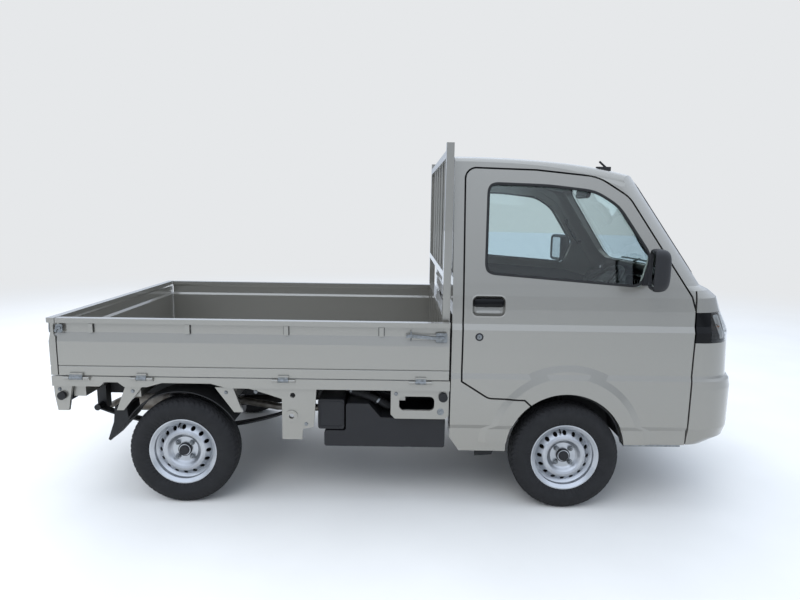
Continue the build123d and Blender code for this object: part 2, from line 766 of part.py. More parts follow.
with BuildPart() as bed_floor:
    add(box((BED_REAR, -BED_HALF_WIDTH + 30, BED_TOP - BED_SHEET), (BED_FRONT, BED_HALF_WIDTH - 30, BED_TOP)))
    add(side_rails)
    add(box((BED_REAR - 33, -BED_HALF_WIDTH, SIDE_RAIL_BOTTOM), (BED_REAR, BED_HALF_WIDTH, SIDE_RAIL_TOP)))
    for x in (-1600, -1330, -860, -470, -30):
        add(box((x, -BEARER_HALF, FRAME_TOP), (x + 60, BEARER_HALF, BED_TOP - BED_SHEET)))
    rib_count = 13
    rib_pitch = 100.0
    for i in range(rib_count):
        y = (i - (rib_count - 1) / 2) * rib_pitch
        add(box((BED_REAR + 40, y - 22, BED_TOP), (BED_FRONT - 60, y + 22, BED_TOP + 5)))
    for start, end in SIDE_HINGES:
        for side in (-1, 1):
            for x0, x1 in ((start, start + 28), (end - 28, end)):
                lug = side * (HINGE_OUT - HINGE_RADIUS + 4)
                inner = side * (BED_HALF_WIDTH - 5)
                add(box((x0, min(lug, inner), 640), (x1, max(lug, inner), HINGE_Z)))
    for start, end in REAR_HINGES:
        for y0, y1 in ((start, start + 28), (end - 28, end)):
            add(box((TAILGATE_HINGE_X + 2, y0, 640), (BED_REAR - 30, y1, HINGE_Z)))
hinge_pins = []
for start, end in SIDE_HINGES:
    hinge_pins.append(rod((start, -HINGE_OUT, HINGE_Z), (end, -HINGE_OUT, HINGE_Z), HINGE_PIN))
    hinge_pins.append(rod((start, HINGE_OUT, HINGE_Z), (end, HINGE_OUT, HINGE_Z), HINGE_PIN))
    for x0, x1 in ((start, start + 28), (end - 28, end)):
        hinge_pins.append(rod((x0, -HINGE_OUT, HINGE_Z), (x1, -HINGE_OUT, HINGE_Z), HINGE_RADIUS))
        hinge_pins.append(rod((x0, HINGE_OUT, HINGE_Z), (x1, HINGE_OUT, HINGE_Z), HINGE_RADIUS))
for start, end in REAR_HINGES:
    hinge_pins.append(rod((TAILGATE_HINGE_X, start, HINGE_Z), (TAILGATE_HINGE_X, end, HINGE_Z), HINGE_PIN))
    for y0, y1 in ((start, start + 28), (end - 28, end)):
        hinge_pins.append(rod((TAILGATE_HINGE_X, y0, HINGE_Z), (TAILGATE_HINGE_X, y1, HINGE_Z), HINGE_RADIUS))
with BuildPart() as bed_complete:
    add(bed_floor.part)
    for pin in hinge_pins:
        add(pin)
save(bed_complete.part, "bed_floor")

# Pressed gates: section of a gate, outer face to the left, as depth from the outer plane and height
GATE_SECTION = [
    (0, GATE_BOTTOM),
    (0, 707),
    (4, 711),
    (0, 715),
    (0, 832),
    (11, 877),
    (11, 920),
    (-5, 923),
    (-5, GATE_TOP),
    (33, GATE_TOP),
    (33, 924),
    (26, 912),
    (26, 866),
    (33, 852),
    (33, GATE_BOTTOM),
]
GATE_RIBS = [-1480, -1017, -545, -89]
RIB_HALF = 11.0
RIB_LOW = 876.0
RIB_HIGH = 921.0


def gate(plane, length):
    """A gate's pressed section carried along its length."""
    with BuildPart() as panel:
        with BuildSketch(plane):
            with BuildLine():
                Polyline(*GATE_SECTION, close=True)
            make_face()
        extrude(amount=length)
    return panel.part


side_gate_length = BED_FRONT - BED_REAR - 2 * GATE_GAP
side_end = Plane(origin=(BED_REAR + GATE_GAP, -BED_HALF_WIDTH, 0), z_dir=(1, 0, 0), x_dir=(0, 1, 0))
side_panel = gate(side_end, side_gate_length)
side_knuckles = []
side_bores = []
for start, end in SIDE_HINGES:
    side_bores.append(
        rod((start, -HINGE_OUT, HINGE_Z), (end, -HINGE_OUT, HINGE_Z), HINGE_PIN + SEAT_GAP)
    )
    side_knuckles.append(
        rod((start + 30, -HINGE_OUT, HINGE_Z), (end - 30, -HINGE_OUT, HINGE_Z), HINGE_RADIUS)
    )
with BuildPart() as side_gate_right:
    add(side_panel)
    for x in GATE_RIBS:
        add(box((x - RIB_HALF, -BED_HALF_WIDTH, RIB_LOW), (x + RIB_HALF, -BED_HALF_WIDTH + 15, RIB_HIGH)))
    for knuckle in side_knuckles:
        add(knuckle)
    for start, end in SIDE_HINGES:
        add(box((start + 30, -HINGE_OUT - 2, HINGE_Z), (end - 30, -BED_HALF_WIDTH - 2, GATE_BOTTOM + 14)))
        add(box((start + 30, -HINGE_OUT - 2, GATE_BOTTOM), (end - 30, -BED_HALF_WIDTH + 6, GATE_BOTTOM + 14)))
    add(box((30, -BED_HALF_WIDTH - 7, 866), (222, -BED_HALF_WIDTH + 14, 890)))
    for bore in side_bores:
        add(bore, mode=Mode.SUBTRACT)
save(side_gate_right.part, "side_gate_right")
save(other_side(side_gate_right.part), "side_gate_left")

tail_end = Plane(origin=(-TAILGATE_FACE, BED_HALF_WIDTH, 0), z_dir=(0, -1, 0), x_dir=(1, 0, 0))
tail_panel = gate(tail_end, 2 * BED_HALF_WIDTH)
rear_knuckles = []
rear_bores = []
for start, end in REAR_HINGES:
    rear_bores.append(
        rod((TAILGATE_HINGE_X, start, HINGE_Z), (TAILGATE_HINGE_X, end, HINGE_Z), HINGE_PIN + SEAT_GAP)
    )
    rear_knuckles.append(
        rod((TAILGATE_HINGE_X, start + 30, HINGE_Z), (TAILGATE_HINGE_X, end - 30, HINGE_Z), HINGE_RADIUS)
    )
with BuildPart() as tailgate:
    add(tail_panel)
    for y in (-520, -175, 175, 520):
        add(box((-TAILGATE_FACE, y - RIB_HALF, RIB_LOW), (-TAILGATE_FACE + 15, y + RIB_HALF, RIB_HIGH)))
    for knuckle in rear_knuckles:
        add(knuckle)
    for start, end in REAR_HINGES:
        tab_outer = TAILGATE_HINGE_X - 2
        tab_top = GATE_BOTTOM + 14
        add(box((tab_outer, start + 30, HINGE_Z), (-TAILGATE_FACE - 1, end - 30, tab_top)))
        add(box((tab_outer, start + 30, GATE_BOTTOM), (-TAILGATE_FACE + 6, end - 30, tab_top)))
    for bore in rear_bores:
        add(bore, mode=Mode.SUBTRACT)
save(tailgate.part, "tailgate")

# Guard frame behind the cab: posts with horns, top bar, window bars and the bed's front panel
GUARD_X = 205.0
GUARD_DEPTH = 36.0
GUARD_POST_Y = 655.0
GUARD_BAR_Z = 1738.0
HORN_TOP = 1790.0
# Undersides and tops of the cross rails, from the bed's front panel up
GUARD_RAILS = [
    (930, 966),
    (1150, 1184),
    (GUARD_BAR_Z - 18, GUARD_BAR_Z + 18),
]
GUARD_BAR_YS = [-420, -210, 0, 210, 420]
guard_bars = []
for y in GUARD_BAR_YS:
    guard_bars.append(rod((GUARD_X + 18, y, 1180), (GUARD_X + 18, y, GUARD_BAR_Z - 10), 9))
with BuildPart() as guard_frame:
    for side in (-1, 1):
        y = side * GUARD_POST_Y
        add(box((GUARD_X, y - 20, BED_TOP), (GUARD_X + GUARD_DEPTH, y + 20, HORN_TOP)))
    for low, high in GUARD_RAILS:
        add(box((GUARD_X, -GUARD_POST_Y, low), (GUARD_X + GUARD_DEPTH, GUARD_POST_Y, high)))
    add(box((GUARD_X + 8, -GUARD_POST_Y, BED_TOP), (GUARD_X + 28, GUARD_POST_Y, 960)))
    for y in GUARD_BAR_YS:
        add(box((GUARD_X, y - 24, BED_TOP), (GUARD_X + 20, y + 24, 940)))
    for bar in guard_bars:
        add(bar)
save(guard_frame.part, "guard_frame")

# Pressed stays under the bed, in the side view of the right side
STAY_TOP = SIDE_RAIL_BOTTOM
tail_stay = side_plate([(-1683, STAY_TOP), (-1594, STAY_TOP), (-1618, 483), (-1670, 483), (-1681, 560)],
                       STAY_OUTER, STAY_SHEET)
rear_fender_stay = side_plate([(-1335, STAY_TOP), (-1252, STAY_TOP), (-1349, 487), (-1383, 487)],
                              STAY_OUTER, STAY_SHEET)
front_fender_stay = side_plate([(-899, STAY_TOP), (-811, STAY_TOP), (-767, 485), (-808, 485)],
                               STAY_OUTER, STAY_SHEET)
middle_stay = side_plate([(-748, STAY_TOP), (-404, STAY_TOP), (-418, 415), (-472, 404), (-475, 350),
                          (-573, 350), (-573, 556), (-640, 578)], STAY_OUTER, STAY_SHEET)
bracket_plate = side_plate([(-41, STAY_TOP), (243, STAY_TOP), (243, 480), (225, 464), (-20, 464), (-41, 485)],
                           STAY_OUTER, STAY_SHEET)
with BuildPart() as bed_bracket:
    add(bracket_plate)
    with BuildSketch(Plane.XZ.offset(STAY_OUTER + 5)):
        with Locations((86, 542)):
            RectangleRounded(172, 71, 24)
    extrude(amount=-STAY_SHEET - 10, mode=Mode.SUBTRACT)
stay_boss = rod((-526, -STAY_OUTER - 6, 470), (-526, -STAY_OUTER, 470), 30)
with BuildPart() as right_stays:
    add(tail_stay)
    add(rear_fender_stay)
    add(front_fender_stay)
    add(middle_stay)
    add(stay_boss)
    add(bed_bracket.part)
    with BuildSketch(Plane.XZ.offset(STAY_OUTER + 20)):
        with Locations((-526, 470), (-520, 575)):
            Circle(13)
    extrude(amount=-60, mode=Mode.SUBTRACT)
save(both_sides(right_stays.part), "bed_stays")

# Rubber stops that the hanging side gates rest near
STOP_OUT = 738.0
tail_stop = rod((-1642, -STAY_OUTER, 560), (-1642, -STOP_OUT, 560), 20)
front_stop = rod((214, -STAY_OUTER, 577), (214, -STOP_OUT, 577), 22)
with BuildPart() as right_stops:
    add(tail_stop)
    add(front_stop)
save(both_sides(right_stops.part), "gate_stops")

# Wheel arch liners and mud flaps on the right, then both sides
LINER_SHEET = 5.0


def arch_liner(x, z, radius, start, end, inner_y, outer_y):
    """A curved guard over one tyre, between two angles up from the horizontal."""
    with BuildPart() as liner:
        with BuildSketch(Plane.XZ.offset(inner_y)):
            with BuildLine():
                CenterArc((x, z), radius, start, end - start)
                CenterArc((x, z), radius - LINER_SHEET, start, end - start)
                for angle in (start, end):
                    c = math.cos(math.radians(angle))
                    n = math.sin(math.radians(angle))
                    Line((x + radius * c, z + radius * n),
                         (x + (radius - LINER_SHEET) * c, z + (radius - LINER_SHEET) * n))
            make_face()
        extrude(amount=outer_y - inner_y)
    return liner.part


# The front liner reaches in past the strut, with a splash wall along the frame
FRONT_LINER_Z = 298.0
FRONT_LINER_RADIUS = 316.7
SPLASH_Y = 425.0
front_liner = arch_liner(FRONT_AXLE_X, FRONT_LINER_Z, FRONT_LINER_RADIUS, 6, 174, SPLASH_Y, 668)
with BuildPart() as splash_wall:
    with BuildSketch(Plane.XZ.offset(SPLASH_Y)):
        with Locations((FRONT_AXLE_X, FRONT_LINER_Z)):
            Circle(FRONT_LINER_RADIUS)
        with Locations((FRONT_AXLE_X, 100)):
            Rectangle(800, 330, mode=Mode.SUBTRACT)
        with Locations((FRONT_AXLE_X - 150, 280)):
            Rectangle(660, 160, mode=Mode.SUBTRACT)
    extrude(amount=LINER_SHEET)
strut_room = rod((FRONT_AXLE_X, -538, 530), (FRONT_AXLE_X, -508, 655), 44)
rear_liner = arch_liner(REAR_AXLE_X, 270, 312, 32, 148, 560, STAY_OUTER - STAY_SHEET - SEAT_GAP)
rear_flap = side_plate([(-1400, 500), (-1342, 500), (-1335, 430), (-1432, 323), (-1442, 330), (-1410, 420)],
                       STAY_OUTER - STAY_SHEET - SEAT_GAP, 136)
front_flap = side_plate([(380, 352), (508, 352), (522, 368), (532, 362), (505, 338), (470, 262), (383, 255)],
                        668, 6)
with BuildPart() as right_liners:
    add(front_liner)
    add(splash_wall.part)
    add(strut_room, mode=Mode.SUBTRACT)
    add(rear_liner)
    add(rear_flap)
    add(front_flap)
save(both_sides(right_liners.part), "arch_liners")

# Battery box and fuel tank hung on the right rail
RAIL_OUTER = RAIL_Y + RAIL_WIDTH / 2
BOX_OUTER = 700.0
BOX_DEPTH = BOX_OUTER - RAIL_OUTER - SEAT_GAP
battery_box = side_plate([(-400, 398), (-271, 398), (-271, 549), (-400, 549)], BOX_OUTER, BOX_DEPTH, 12)
fuel_tank = side_plate(
    [
        (-370, 309),
        (229, 309),
        (229, 460),
        (-90, 460),
        (-150, 530),
        (-262, 530),
        (-262, 390),
        (-370, 390),
    ],
    BOX_OUTER,
    BOX_DEPTH,
    12,
)
with BuildPart() as side_boxes:
    add(battery_box)
    add(fuel_tank)
save(side_boxes.part, "side_boxes")

# Engine under the seats, gearbox and propeller shaft, exhaust
ENGINE_FRONT = 880 - SEAT_GAP
ENGINE_REAR = 360.0
with BuildPart() as engine:
    add(box((ENGINE_REAR, -210, 300), (ENGINE_FRONT, 190, 590)))
save(engine.part, "engine")
propeller_shaft = rod((100, 0, 392), (-968, 0, 300), 30)
with BuildPart() as driveline:
    add(box((70, -110, 320), (ENGINE_REAR - SEAT_GAP, 110, 480)))
    add(propeller_shaft)
    fillet(driveline.edges().filter_by(Axis.X), 30)
save(driveline.part, "driveline")
with BuildPart() as exhaust:
    with BuildLine() as exhaust_line:
        FilletPolyline(
            (ENGINE_REAR - SEAT_GAP, -160, 340),
            (240, -160, 340),
            (60, -230, 335),
            (-700, -230, 345),
            (-1000, -230, 395),
            (-1210, -230, 395),
            radius=60,
        )
    with BuildSketch(Plane(origin=exhaust_line.line @ 0, z_dir=exhaust_line.line % 0)):
        Circle(20)
    sweep()
    with BuildSketch(Plane.YZ.offset(-1210)):
        with Locations((-230, 395)):
            RectangleRounded(190, 130, 50)
    extrude(amount=-300)
    add(box((-1460, -RAIL_OUTER + RAIL_WIDTH + SEAT_GAP, 440), (-1430, -310, 540)))
save(exhaust.part, "exhaust")

# Rear axle: tube, differential, drums and stub ends
REAR_WHEEL_Y = REAR_TRACK / 2
STUB_END = 15.5
axle_tube = rod((REAR_AXLE_X, -600, TYRE_RADIUS), (REAR_AXLE_X, 600, TYRE_RADIUS), 38)
axle_stub = rod((REAR_AXLE_X, -REAR_WHEEL_Y - STUB_END, TYRE_RADIUS),
                (REAR_AXLE_X, REAR_WHEEL_Y + STUB_END, TYRE_RADIUS), STUB_RADIUS)
drum = rod((REAR_AXLE_X, -604, TYRE_RADIUS), (REAR_AXLE_X, -560, TYRE_RADIUS), 98)
drums = both_sides(drum)
diff_nose = rod((REAR_AXLE_X, 0, TYRE_RADIUS), (-966, 0, 290), 62)
with BuildPart() as rear_axle:
    add(axle_tube)
    add(axle_stub)
    add(drums)
    with Locations((REAR_AXLE_X, 0, TYRE_RADIUS)):
        Sphere(102)
    add(diff_nose)
    add(propeller_shaft, mode=Mode.SUBTRACT)
save(rear_axle.part.solids().sort_by(SortBy.VOLUME)[-1], "rear_axle")

# Leaf springs over the rear axle; lower arms and strut towers at the front
SPRING_Y = 480.0
SPRING_HALF = 25.0
SPRING_SEAT = TYRE_RADIUS + 38 + SEAT_GAP
with BuildPart() as leaf_spring:
    with BuildSketch(Plane.XZ.offset(SPRING_Y - SPRING_HALF)):
        with BuildLine():
            ThreePointArc((-556, 425), (REAR_AXLE_X, SPRING_SEAT + 18), (-1596, 425))
            Line((-1596, 425), (-1596, 417))
            ThreePointArc((-1596, 417), (REAR_AXLE_X, SPRING_SEAT + 8), (-556, 417))
            Line((-556, 417), (-556, 425))
        make_face()
    extrude(amount=2 * SPRING_HALF)
    with BuildSketch(Plane.XZ.offset(SPRING_Y - SPRING_HALF)):
        with Locations((REAR_AXLE_X, SPRING_SEAT + 14)):
            Rectangle(120, 28)
        with Locations((-556, 421), (-1596, 421)):
            Circle(17)
    extrude(amount=2 * SPRING_HALF)
    add(box((-580, -SPRING_Y + SPRING_HALF + 2, 400), (-532, -RAIL_OUTER - SEAT_GAP, 540)))
    add(box((-1620, -SPRING_Y + SPRING_HALF + 2, 400), (-1572, -RAIL_OUTER - SEAT_GAP, 540)))
eye_front = rod((-556, -SPRING_Y, 421), (-556, -RAIL_OUTER - 10, 421), 9)
eye_rear = rod((-1596, -SPRING_Y, 421), (-1596, -RAIL_OUTER - 10, 421), 9)
pin_dir = Vector(0, math.sin(math.radians(PIN_LEAN)), math.cos(math.radians(PIN_LEAN)))
pin_origin = Vector(FRONT_AXLE_X, -PIN_Y, TYRE_RADIUS)


def on_pin(distance):
    """A point on the right steering axis, measured from axle height."""
    return tuple(pin_origin + pin_dir * distance)


arm_seat = rod(on_pin(-112), on_pin(-66), 24)
arm_knee = (FRONT_AXLE_X, -535, 182)
arm_outer = rod(on_pin(-98), arm_knee, 15)
arm_inner = rod(arm_knee, (FRONT_AXLE_X, -RAIL_Y - 5, 330), 15)
arm_block = box(
    (FRONT_AXLE_X - 30, -RAIL_OUTER + 5, 318),
    (FRONT_AXLE_X + 30, -RAIL_Y + 15, RAIL_FRONT_Z - SEAT_GAP),
)
strut_tower = rod(on_pin(286), on_pin(380), 42)
with BuildPart() as right_suspension:
    add(leaf_spring.part)
    add(eye_front)
    add(eye_rear)
    add(arm_outer)
    add(arm_inner)
    add(arm_seat)
    add(arm_block)
    add(strut_tower)
    add(box((0, -900, DECK_Z - SEAT_GAP), (2000, 900, 900)), mode=Mode.SUBTRACT)
save(both_sides(right_suspension.part), "suspension")

# Knuckles turn on the leaning axis and carry the front stub axles
FRONT_WHEEL_Y = FRONT_TRACK / 2
pin_post = rod(on_pin(-65), on_pin(284), PIN_RADIUS)
front_stub = rod(
    (FRONT_AXLE_X, -PIN_Y, TYRE_RADIUS),
    (FRONT_AXLE_X, -FRONT_WHEEL_Y - STUB_END, TYRE_RADIUS),
    STUB_RADIUS,
)
knuckle_body = rod(
    (FRONT_AXLE_X, -PIN_Y + 20, TYRE_RADIUS),
    (FRONT_AXLE_X, -FRONT_WHEEL_Y + 12, TYRE_RADIUS),
    32,
)
with BuildPart() as knuckle_right:
    add(pin_post)
    add(front_stub)
    add(knuckle_body)
save(knuckle_right.part, "knuckle_right")
save(other_side(knuckle_right.part), "knuckle_left")

# Wheels: section as radius and distance outward from the wheel's middle plane
FLANGE_RADIUS = RIM_SEAT_RADIUS + FLANGE_HEIGHT
RIM_SECTION = [
    (FLANGE_RADIUS, -57),
    (FLANGE_RADIUS, -51),
    (RIM_SEAT_RADIUS, -RIM_HALF_WIDTH + 3),
    (RIM_SEAT_RADIUS - 1, -26),
    (136, -18),
    (136, 14),
    (RIM_SEAT_RADIUS - 1, 26),
    (RIM_SEAT_RADIUS, RIM_HALF_WIDTH - 3),
    (FLANGE_RADIUS, 51),
    (FLANGE_RADIUS, 57),
    (FLANGE_RADIUS - 5, 57),
    (RIM_SEAT_RADIUS - 5, 46),
    (RIM_SEAT_RADIUS - 6, 27),
    (133, 16),
    (121, 27),
    (106, 41),
    (95, 45),
    (84, 41),
    (72, 27),
    (64, 20),
    (HUB_RADIUS, 20),
    (HUB_RADIUS - 5, 34),
    (0, 36),
    (0, STUB_END + 1),
    (STUB_RADIUS + BEARING_GAP, STUB_END + 1),
    (STUB_RADIUS + BEARING_GAP, -10),
    (46, -10),
    (50, 4),
    (62, 14),
    (76, 21),
    (88, 36),
    (95, 39),
    (103, 36),
    (117, 22),
    (130, 9),
    (131, -21),
    (RIM_SEAT_RADIUS - 6, -30),
    (RIM_SEAT_RADIUS - 5, -46),
    (FLANGE_RADIUS - 5, -57),
]
TYRE_SECTION = [
    (RIM_SEAT_RADIUS + SEAT_GAP, -44),
    (FLANGE_RADIUS - 4, -47),
    (FLANGE_RADIUS + 1, -50),
    (FLANGE_RADIUS + 2, -62),
    (205, -TYRE_WIDTH / 2 + 1),
    (225, -TYRE_WIDTH / 2),
    (250, -65),
    (264, -54),
    (TYRE_RADIUS, -42),
    (TYRE_RADIUS, 42),
    (264, 54),
    (250, 65),
    (225, TYRE_WIDTH / 2),
    (205, TYRE_WIDTH / 2 - 1),
    (FLANGE_RADIUS + 2, 62),
    (FLANGE_RADIUS + 1, 50),
    (FLANGE_RADIUS - 4, 47),
    (RIM_SEAT_RADIUS + SEAT_GAP, 44),
    (RIM_SEAT_RADIUS + 2, 28),
    (172, 46),
    (200, 60),
    (225, 62),
    (246, 54),
    (255, 36),
    (255, -36),
    (246, -54),
    (225, -62),
    (200, -60),
    (172, -46),
    (RIM_SEAT_RADIUS + 2, -28),
]


def wheel_piece(section, x, y, outward):
    """A section turned about a wheel's axle; outward is -1 on the right and 1 on the left."""
    plane = Plane(origin=(x, y, TYRE_RADIUS), z_dir=(0, outward, 0), x_dir=(1, 0, 0))
    side = Plane(origin=(x, y, TYRE_RADIUS), x_dir=(1, 0, 0), z_dir=plane.y_dir)
    sign = -1 if side.y_dir.Y * outward < 0 else 1
    with BuildPart() as piece:
        with BuildSketch(side):
            with BuildLine():
                Polyline(*[(r, sign * a) for r, a in section], close=True)
            make_face()
        revolve(axis=Axis((x, y, TYRE_RADIUS), (0, 1, 0)))
    return piece.part


# Wheels: name, place along the truck, middle plane, outward direction
WHEELS = [
    ("front_right", FRONT_AXLE_X, -FRONT_WHEEL_Y, -1),
    ("front_left", FRONT_AXLE_X, FRONT_WHEEL_Y, 1),
    ("rear_right", REAR_AXLE_X, -REAR_WHEEL_Y, -1),
    ("rear_left", REAR_AXLE_X, REAR_WHEEL_Y, 1),
]
for name, x, y, outward in WHEELS:
    disc = wheel_piece(RIM_SECTION, x, y, outward)
    face = Plane(origin=(x, y, TYRE_RADIUS), z_dir=(0, outward, 0), x_dir=(1, 0, 0))
    with BuildPart() as rim:
        add(disc)
        with BuildSketch(face):
            with PolarLocations(VENT_CIRCLE, VENT_COUNT):
                Circle(VENT_RADIUS)
        extrude(amount=60, mode=Mode.SUBTRACT)
        with BuildSketch(face.offset(17)):
            with PolarLocations(LUG_CIRCLE, LUG_COUNT, start_angle=45):
                RegularPolygon(LUG_RADIUS, 6)
        extrude(amount=18)
    save(rim.part, f"rim_{name}")
    save(wheel_piece(TYRE_SECTION, x, y, outward), f"tyre_{name}")

# Tail lamps under the rear sill
lamp_block = box((-1668, -690, 520), (-1625, -500, SIDE_RAIL_BOTTOM - SEAT_GAP))
with BuildPart() as tail_lamp:
    add(lamp_block)
    fillet(tail_lamp.edges().filter_by(Axis.X), 12)
save(both_sides(tail_lamp.part), "tail_lamps")

# Wipers lying just off the windscreen, and the short aerial on the right roof edge
# Strips in the front view as start and end of each arm and blade
WIPER_STRIPS = [
    ((-560, 1196), (-60, 1184)),
    ((-60, 1128), (-330, 1192)),
    ((-40, 1196), (440, 1184)),
    ((440, 1128), (180, 1192)),
]
WIPER_WIDTH = 14.0
with BuildPart() as wiper_prism:
    with BuildSketch(Plane.YZ.offset(1200)):
        for (y0, z0), (y1, z1) in WIPER_STRIPS:
            with Locations(((y0 + y1) / 2, (z0 + z1) / 2)):
                length = math.hypot(y1 - y0, z1 - z0)
                angle = math.degrees(math.atan2(z1 - z0, y1 - y0))
                SlotOverall(length + WIPER_WIDTH, WIPER_WIDTH, rotation=angle)
    extrude(amount=500)
wiper_skin = skin(-14, 14 - SEAT_GAP, CAB_ROWS[8:12])
with BuildPart() as wipers:
    add(wiper_skin)
    add(wiper_prism.part, mode=Mode.INTERSECT)
save(wipers.part, "wipers")

aerial_rod = rod((1000, -562, 1684), (955, -562, 1722), 5)
with BuildPart() as antenna:
    add(box((940, -574, 1660), (1012, -550, 1697)))
    fillet(antenna.edges().filter_by(Axis.Z), 10)
    add(aerial_rod)
    add(outside, mode=Mode.SUBTRACT)
save(antenna.part, "antenna")
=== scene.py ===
"""Looks of a small cab-over truck with a drop-side bed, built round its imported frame."""

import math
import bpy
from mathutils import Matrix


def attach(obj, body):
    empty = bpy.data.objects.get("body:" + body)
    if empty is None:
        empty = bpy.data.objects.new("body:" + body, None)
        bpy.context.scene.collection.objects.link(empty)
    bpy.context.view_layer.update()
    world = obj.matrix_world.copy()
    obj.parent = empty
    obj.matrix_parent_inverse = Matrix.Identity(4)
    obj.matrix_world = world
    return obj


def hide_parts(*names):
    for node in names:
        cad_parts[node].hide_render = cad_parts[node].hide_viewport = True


bl_info = {
    "name": "Small Truck Looks",
    "version": (1, 0, 0),
    "blender": (4, 5, 0),
    "location": "View3D > Sidebar > Truck",
    "description": "Dresses the packed frame of a small cab-over truck",
    "category": "Object",
}

import bmesh
import bpy
import numpy as np
from mathutils import Matrix, Vector

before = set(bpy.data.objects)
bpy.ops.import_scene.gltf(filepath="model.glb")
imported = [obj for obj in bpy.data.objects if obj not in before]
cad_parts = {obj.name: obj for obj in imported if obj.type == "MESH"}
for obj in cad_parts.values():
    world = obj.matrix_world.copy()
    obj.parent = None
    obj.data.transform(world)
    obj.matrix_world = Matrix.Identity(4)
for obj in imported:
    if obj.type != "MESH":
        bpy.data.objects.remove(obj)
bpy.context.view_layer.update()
MM = 0.001
AHEAD, LEFT, UP = (1, 0, 0), (0, 1, 0), (0, 0, 1)
BACK, RIGHT = (-1, 0, 0), (0, -1, 0)


def mm(*rows):
    """Numbers or rows of numbers in millimetres as an array in metres."""
    return MM * np.array(rows)


SIDES = (("right", -1), ("left", 1))

# Plan sections of the cab from the sill up, in millimetres:
# height, half width, front edge beside the corner, corner radius, bow of the front
CAB_ROWS = mm(
    (250, 718, 1640, 190, 16), (418, 718, 1650, 190, 16), (440, 729, 1651, 190, 16),
    (672, 729, 1656, 190, 16), (698, 721, 1656, 190, 16), (912, 723, 1644, 190, 16),
    (941, 712, 1638, 190, 16), (1011, 708, 1604, 185, 18), (1077, 702, 1578, 170, 24),
    (1112, 697, 1530, 150, 32), (1135, 694, 1477, 130, 42), (1646, 619, 1132, 120, 60),
    (1800, 596, 1031, 120, 60),
)
# Roof sections from the rear forward, in millimetres: place, rail height, crown above the rail
ROOF_ROWS = mm(
    (150, 1727, 38), (560, 1724, 38), (860, 1699, 36), (1150, 1640, 30), (1300, 1592, 26),
    (1800, 1440, 24),
)
WHEELS = (
    ("front_right", 0.829, -0.6525, -1), ("front_left", 0.829, 0.6525, 1),
    ("rear_right", -1.076, -0.645, -1), ("rear_left", -1.076, 0.645, 1),
)
AXLE_Z = 0.268


# ---- surfaces -------------------------------------------------------------------------


def quads(rows, columns, round_rows, round_columns):
    """Faces between neighbouring points of a grid that is stored row by row."""
    r = np.arange(rows if round_rows else rows - 1)[:, None]
    c = np.arange(columns if round_columns else columns - 1)[None, :]
    r2, c2 = (r + 1) % rows, (c + 1) % columns
    corners = (r * columns + c, r2 * columns + c, r2 * columns + c2, r * columns + c2)
    return np.stack(corners, -1).reshape(-1, 4)


def sheet(grid, round_rows=False, round_columns=False, caps=False):
    """A grid of points as one surface, point = grid[row, column]; caps close its first and last rows."""
    rows, columns = grid.shape[:2]
    faces = [quads(rows, columns, round_rows, round_columns)]
    if caps:
        faces += [np.arange(columns)[None, ::-1], np.arange(columns)[None, :] + (rows - 1) * columns]
    return grid.reshape(-1, 3), faces


def unit(v):
    """Vectors along the last axis at length one."""
    v = np.asarray(v, float)
    return v / np.maximum(np.linalg.norm(v, axis=-1, keepdims=True), 1e-12)


def ring_sheet(rings, caps=False):
    """Closed rings of points, each joined to the next by a band of faces."""
    return sheet(np.array(rings), False, True, caps)


def swept(path, up, profile, closed=False):
    """A profile carried along a path: point + a * side + b * up, where side = tangent x up."""
    path = np.asarray(path, float)
    around = np.concatenate([path[-1:], path, path[:1]]) if closed else np.concatenate(
        [2 * path[:1] - path[1:2], path, 2 * path[-1:] - path[-2:-1]])
    tangent = unit(around[2:] - around[:-2])
    up = np.broadcast_to(np.asarray(up, float), path.shape)
    side = unit(np.cross(tangent, up))
    up = np.cross(side, tangent)
    grid = path[:, None] + side[:, None] * profile[None, :, :1] + up[:, None] * profile[None, :, 1:]
    return sheet(grid, closed, True, caps=not closed)


def turned(profile, origin, axis, steps):
    """A profile of radius and distance turned about an axis: origin + d * axis + r * (cos t, sin t)."""
    axis = unit(axis)
    side = unit(np.cross(axis, (0.0, 0.0, 1.0) if abs(axis[2]) < 0.9 else (1.0, 0.0, 0.0)))
    other = np.cross(axis, side)
    t = np.arange(steps) * 2 * math.pi / steps
    profile = np.asarray(profile, float)
    ring = np.cos(t)[:, None] * side + np.sin(t)[:, None] * other
    grid = np.asarray(origin) + profile[None, :, 1:] * axis + profile[None, :, :1] * ring[:, None]
    return sheet(grid, True, False)


def circle(radius, steps):
    """Points round a circle, as a profile: radius * (cos t, sin t)."""
    t = np.arange(steps) * 2 * math.pi / steps
    return radius * np.stack([np.cos(t), np.sin(t)], 1)


def rounded(points, radius, steps):
    """A closed outline whose corners are eased: corner + a t (1-s)^2 + b t s^2 along its two sides."""
    p = np.asarray(points, float)
    a, b = np.roll(p, 1, 0) - p, np.roll(p, -1, 0) - p
    la, lb = np.linalg.norm(a, axis=1), np.linalg.norm(b, axis=1)
    t = np.minimum(np.broadcast_to(radius, la.shape), 0.48 * np.minimum(la, lb))[:, None, None]
    s = np.linspace(0, 1, steps)[None, :, None]
    arc = p[:, None] + (a / la[:, None])[:, None] * t * (1 - s) ** 2 + (b / lb[:, None])[:, None] * t * s**2
    return arc.reshape(-1, p.shape[1])


def rectangle(width, height, radius, steps=5):
    """A rounded rectangle about the middle, counter-clockwise."""
    w, h = width / 2, height / 2
    return rounded([(-w, -h), (w, -h), (w, h), (-w, h)], radius, steps)


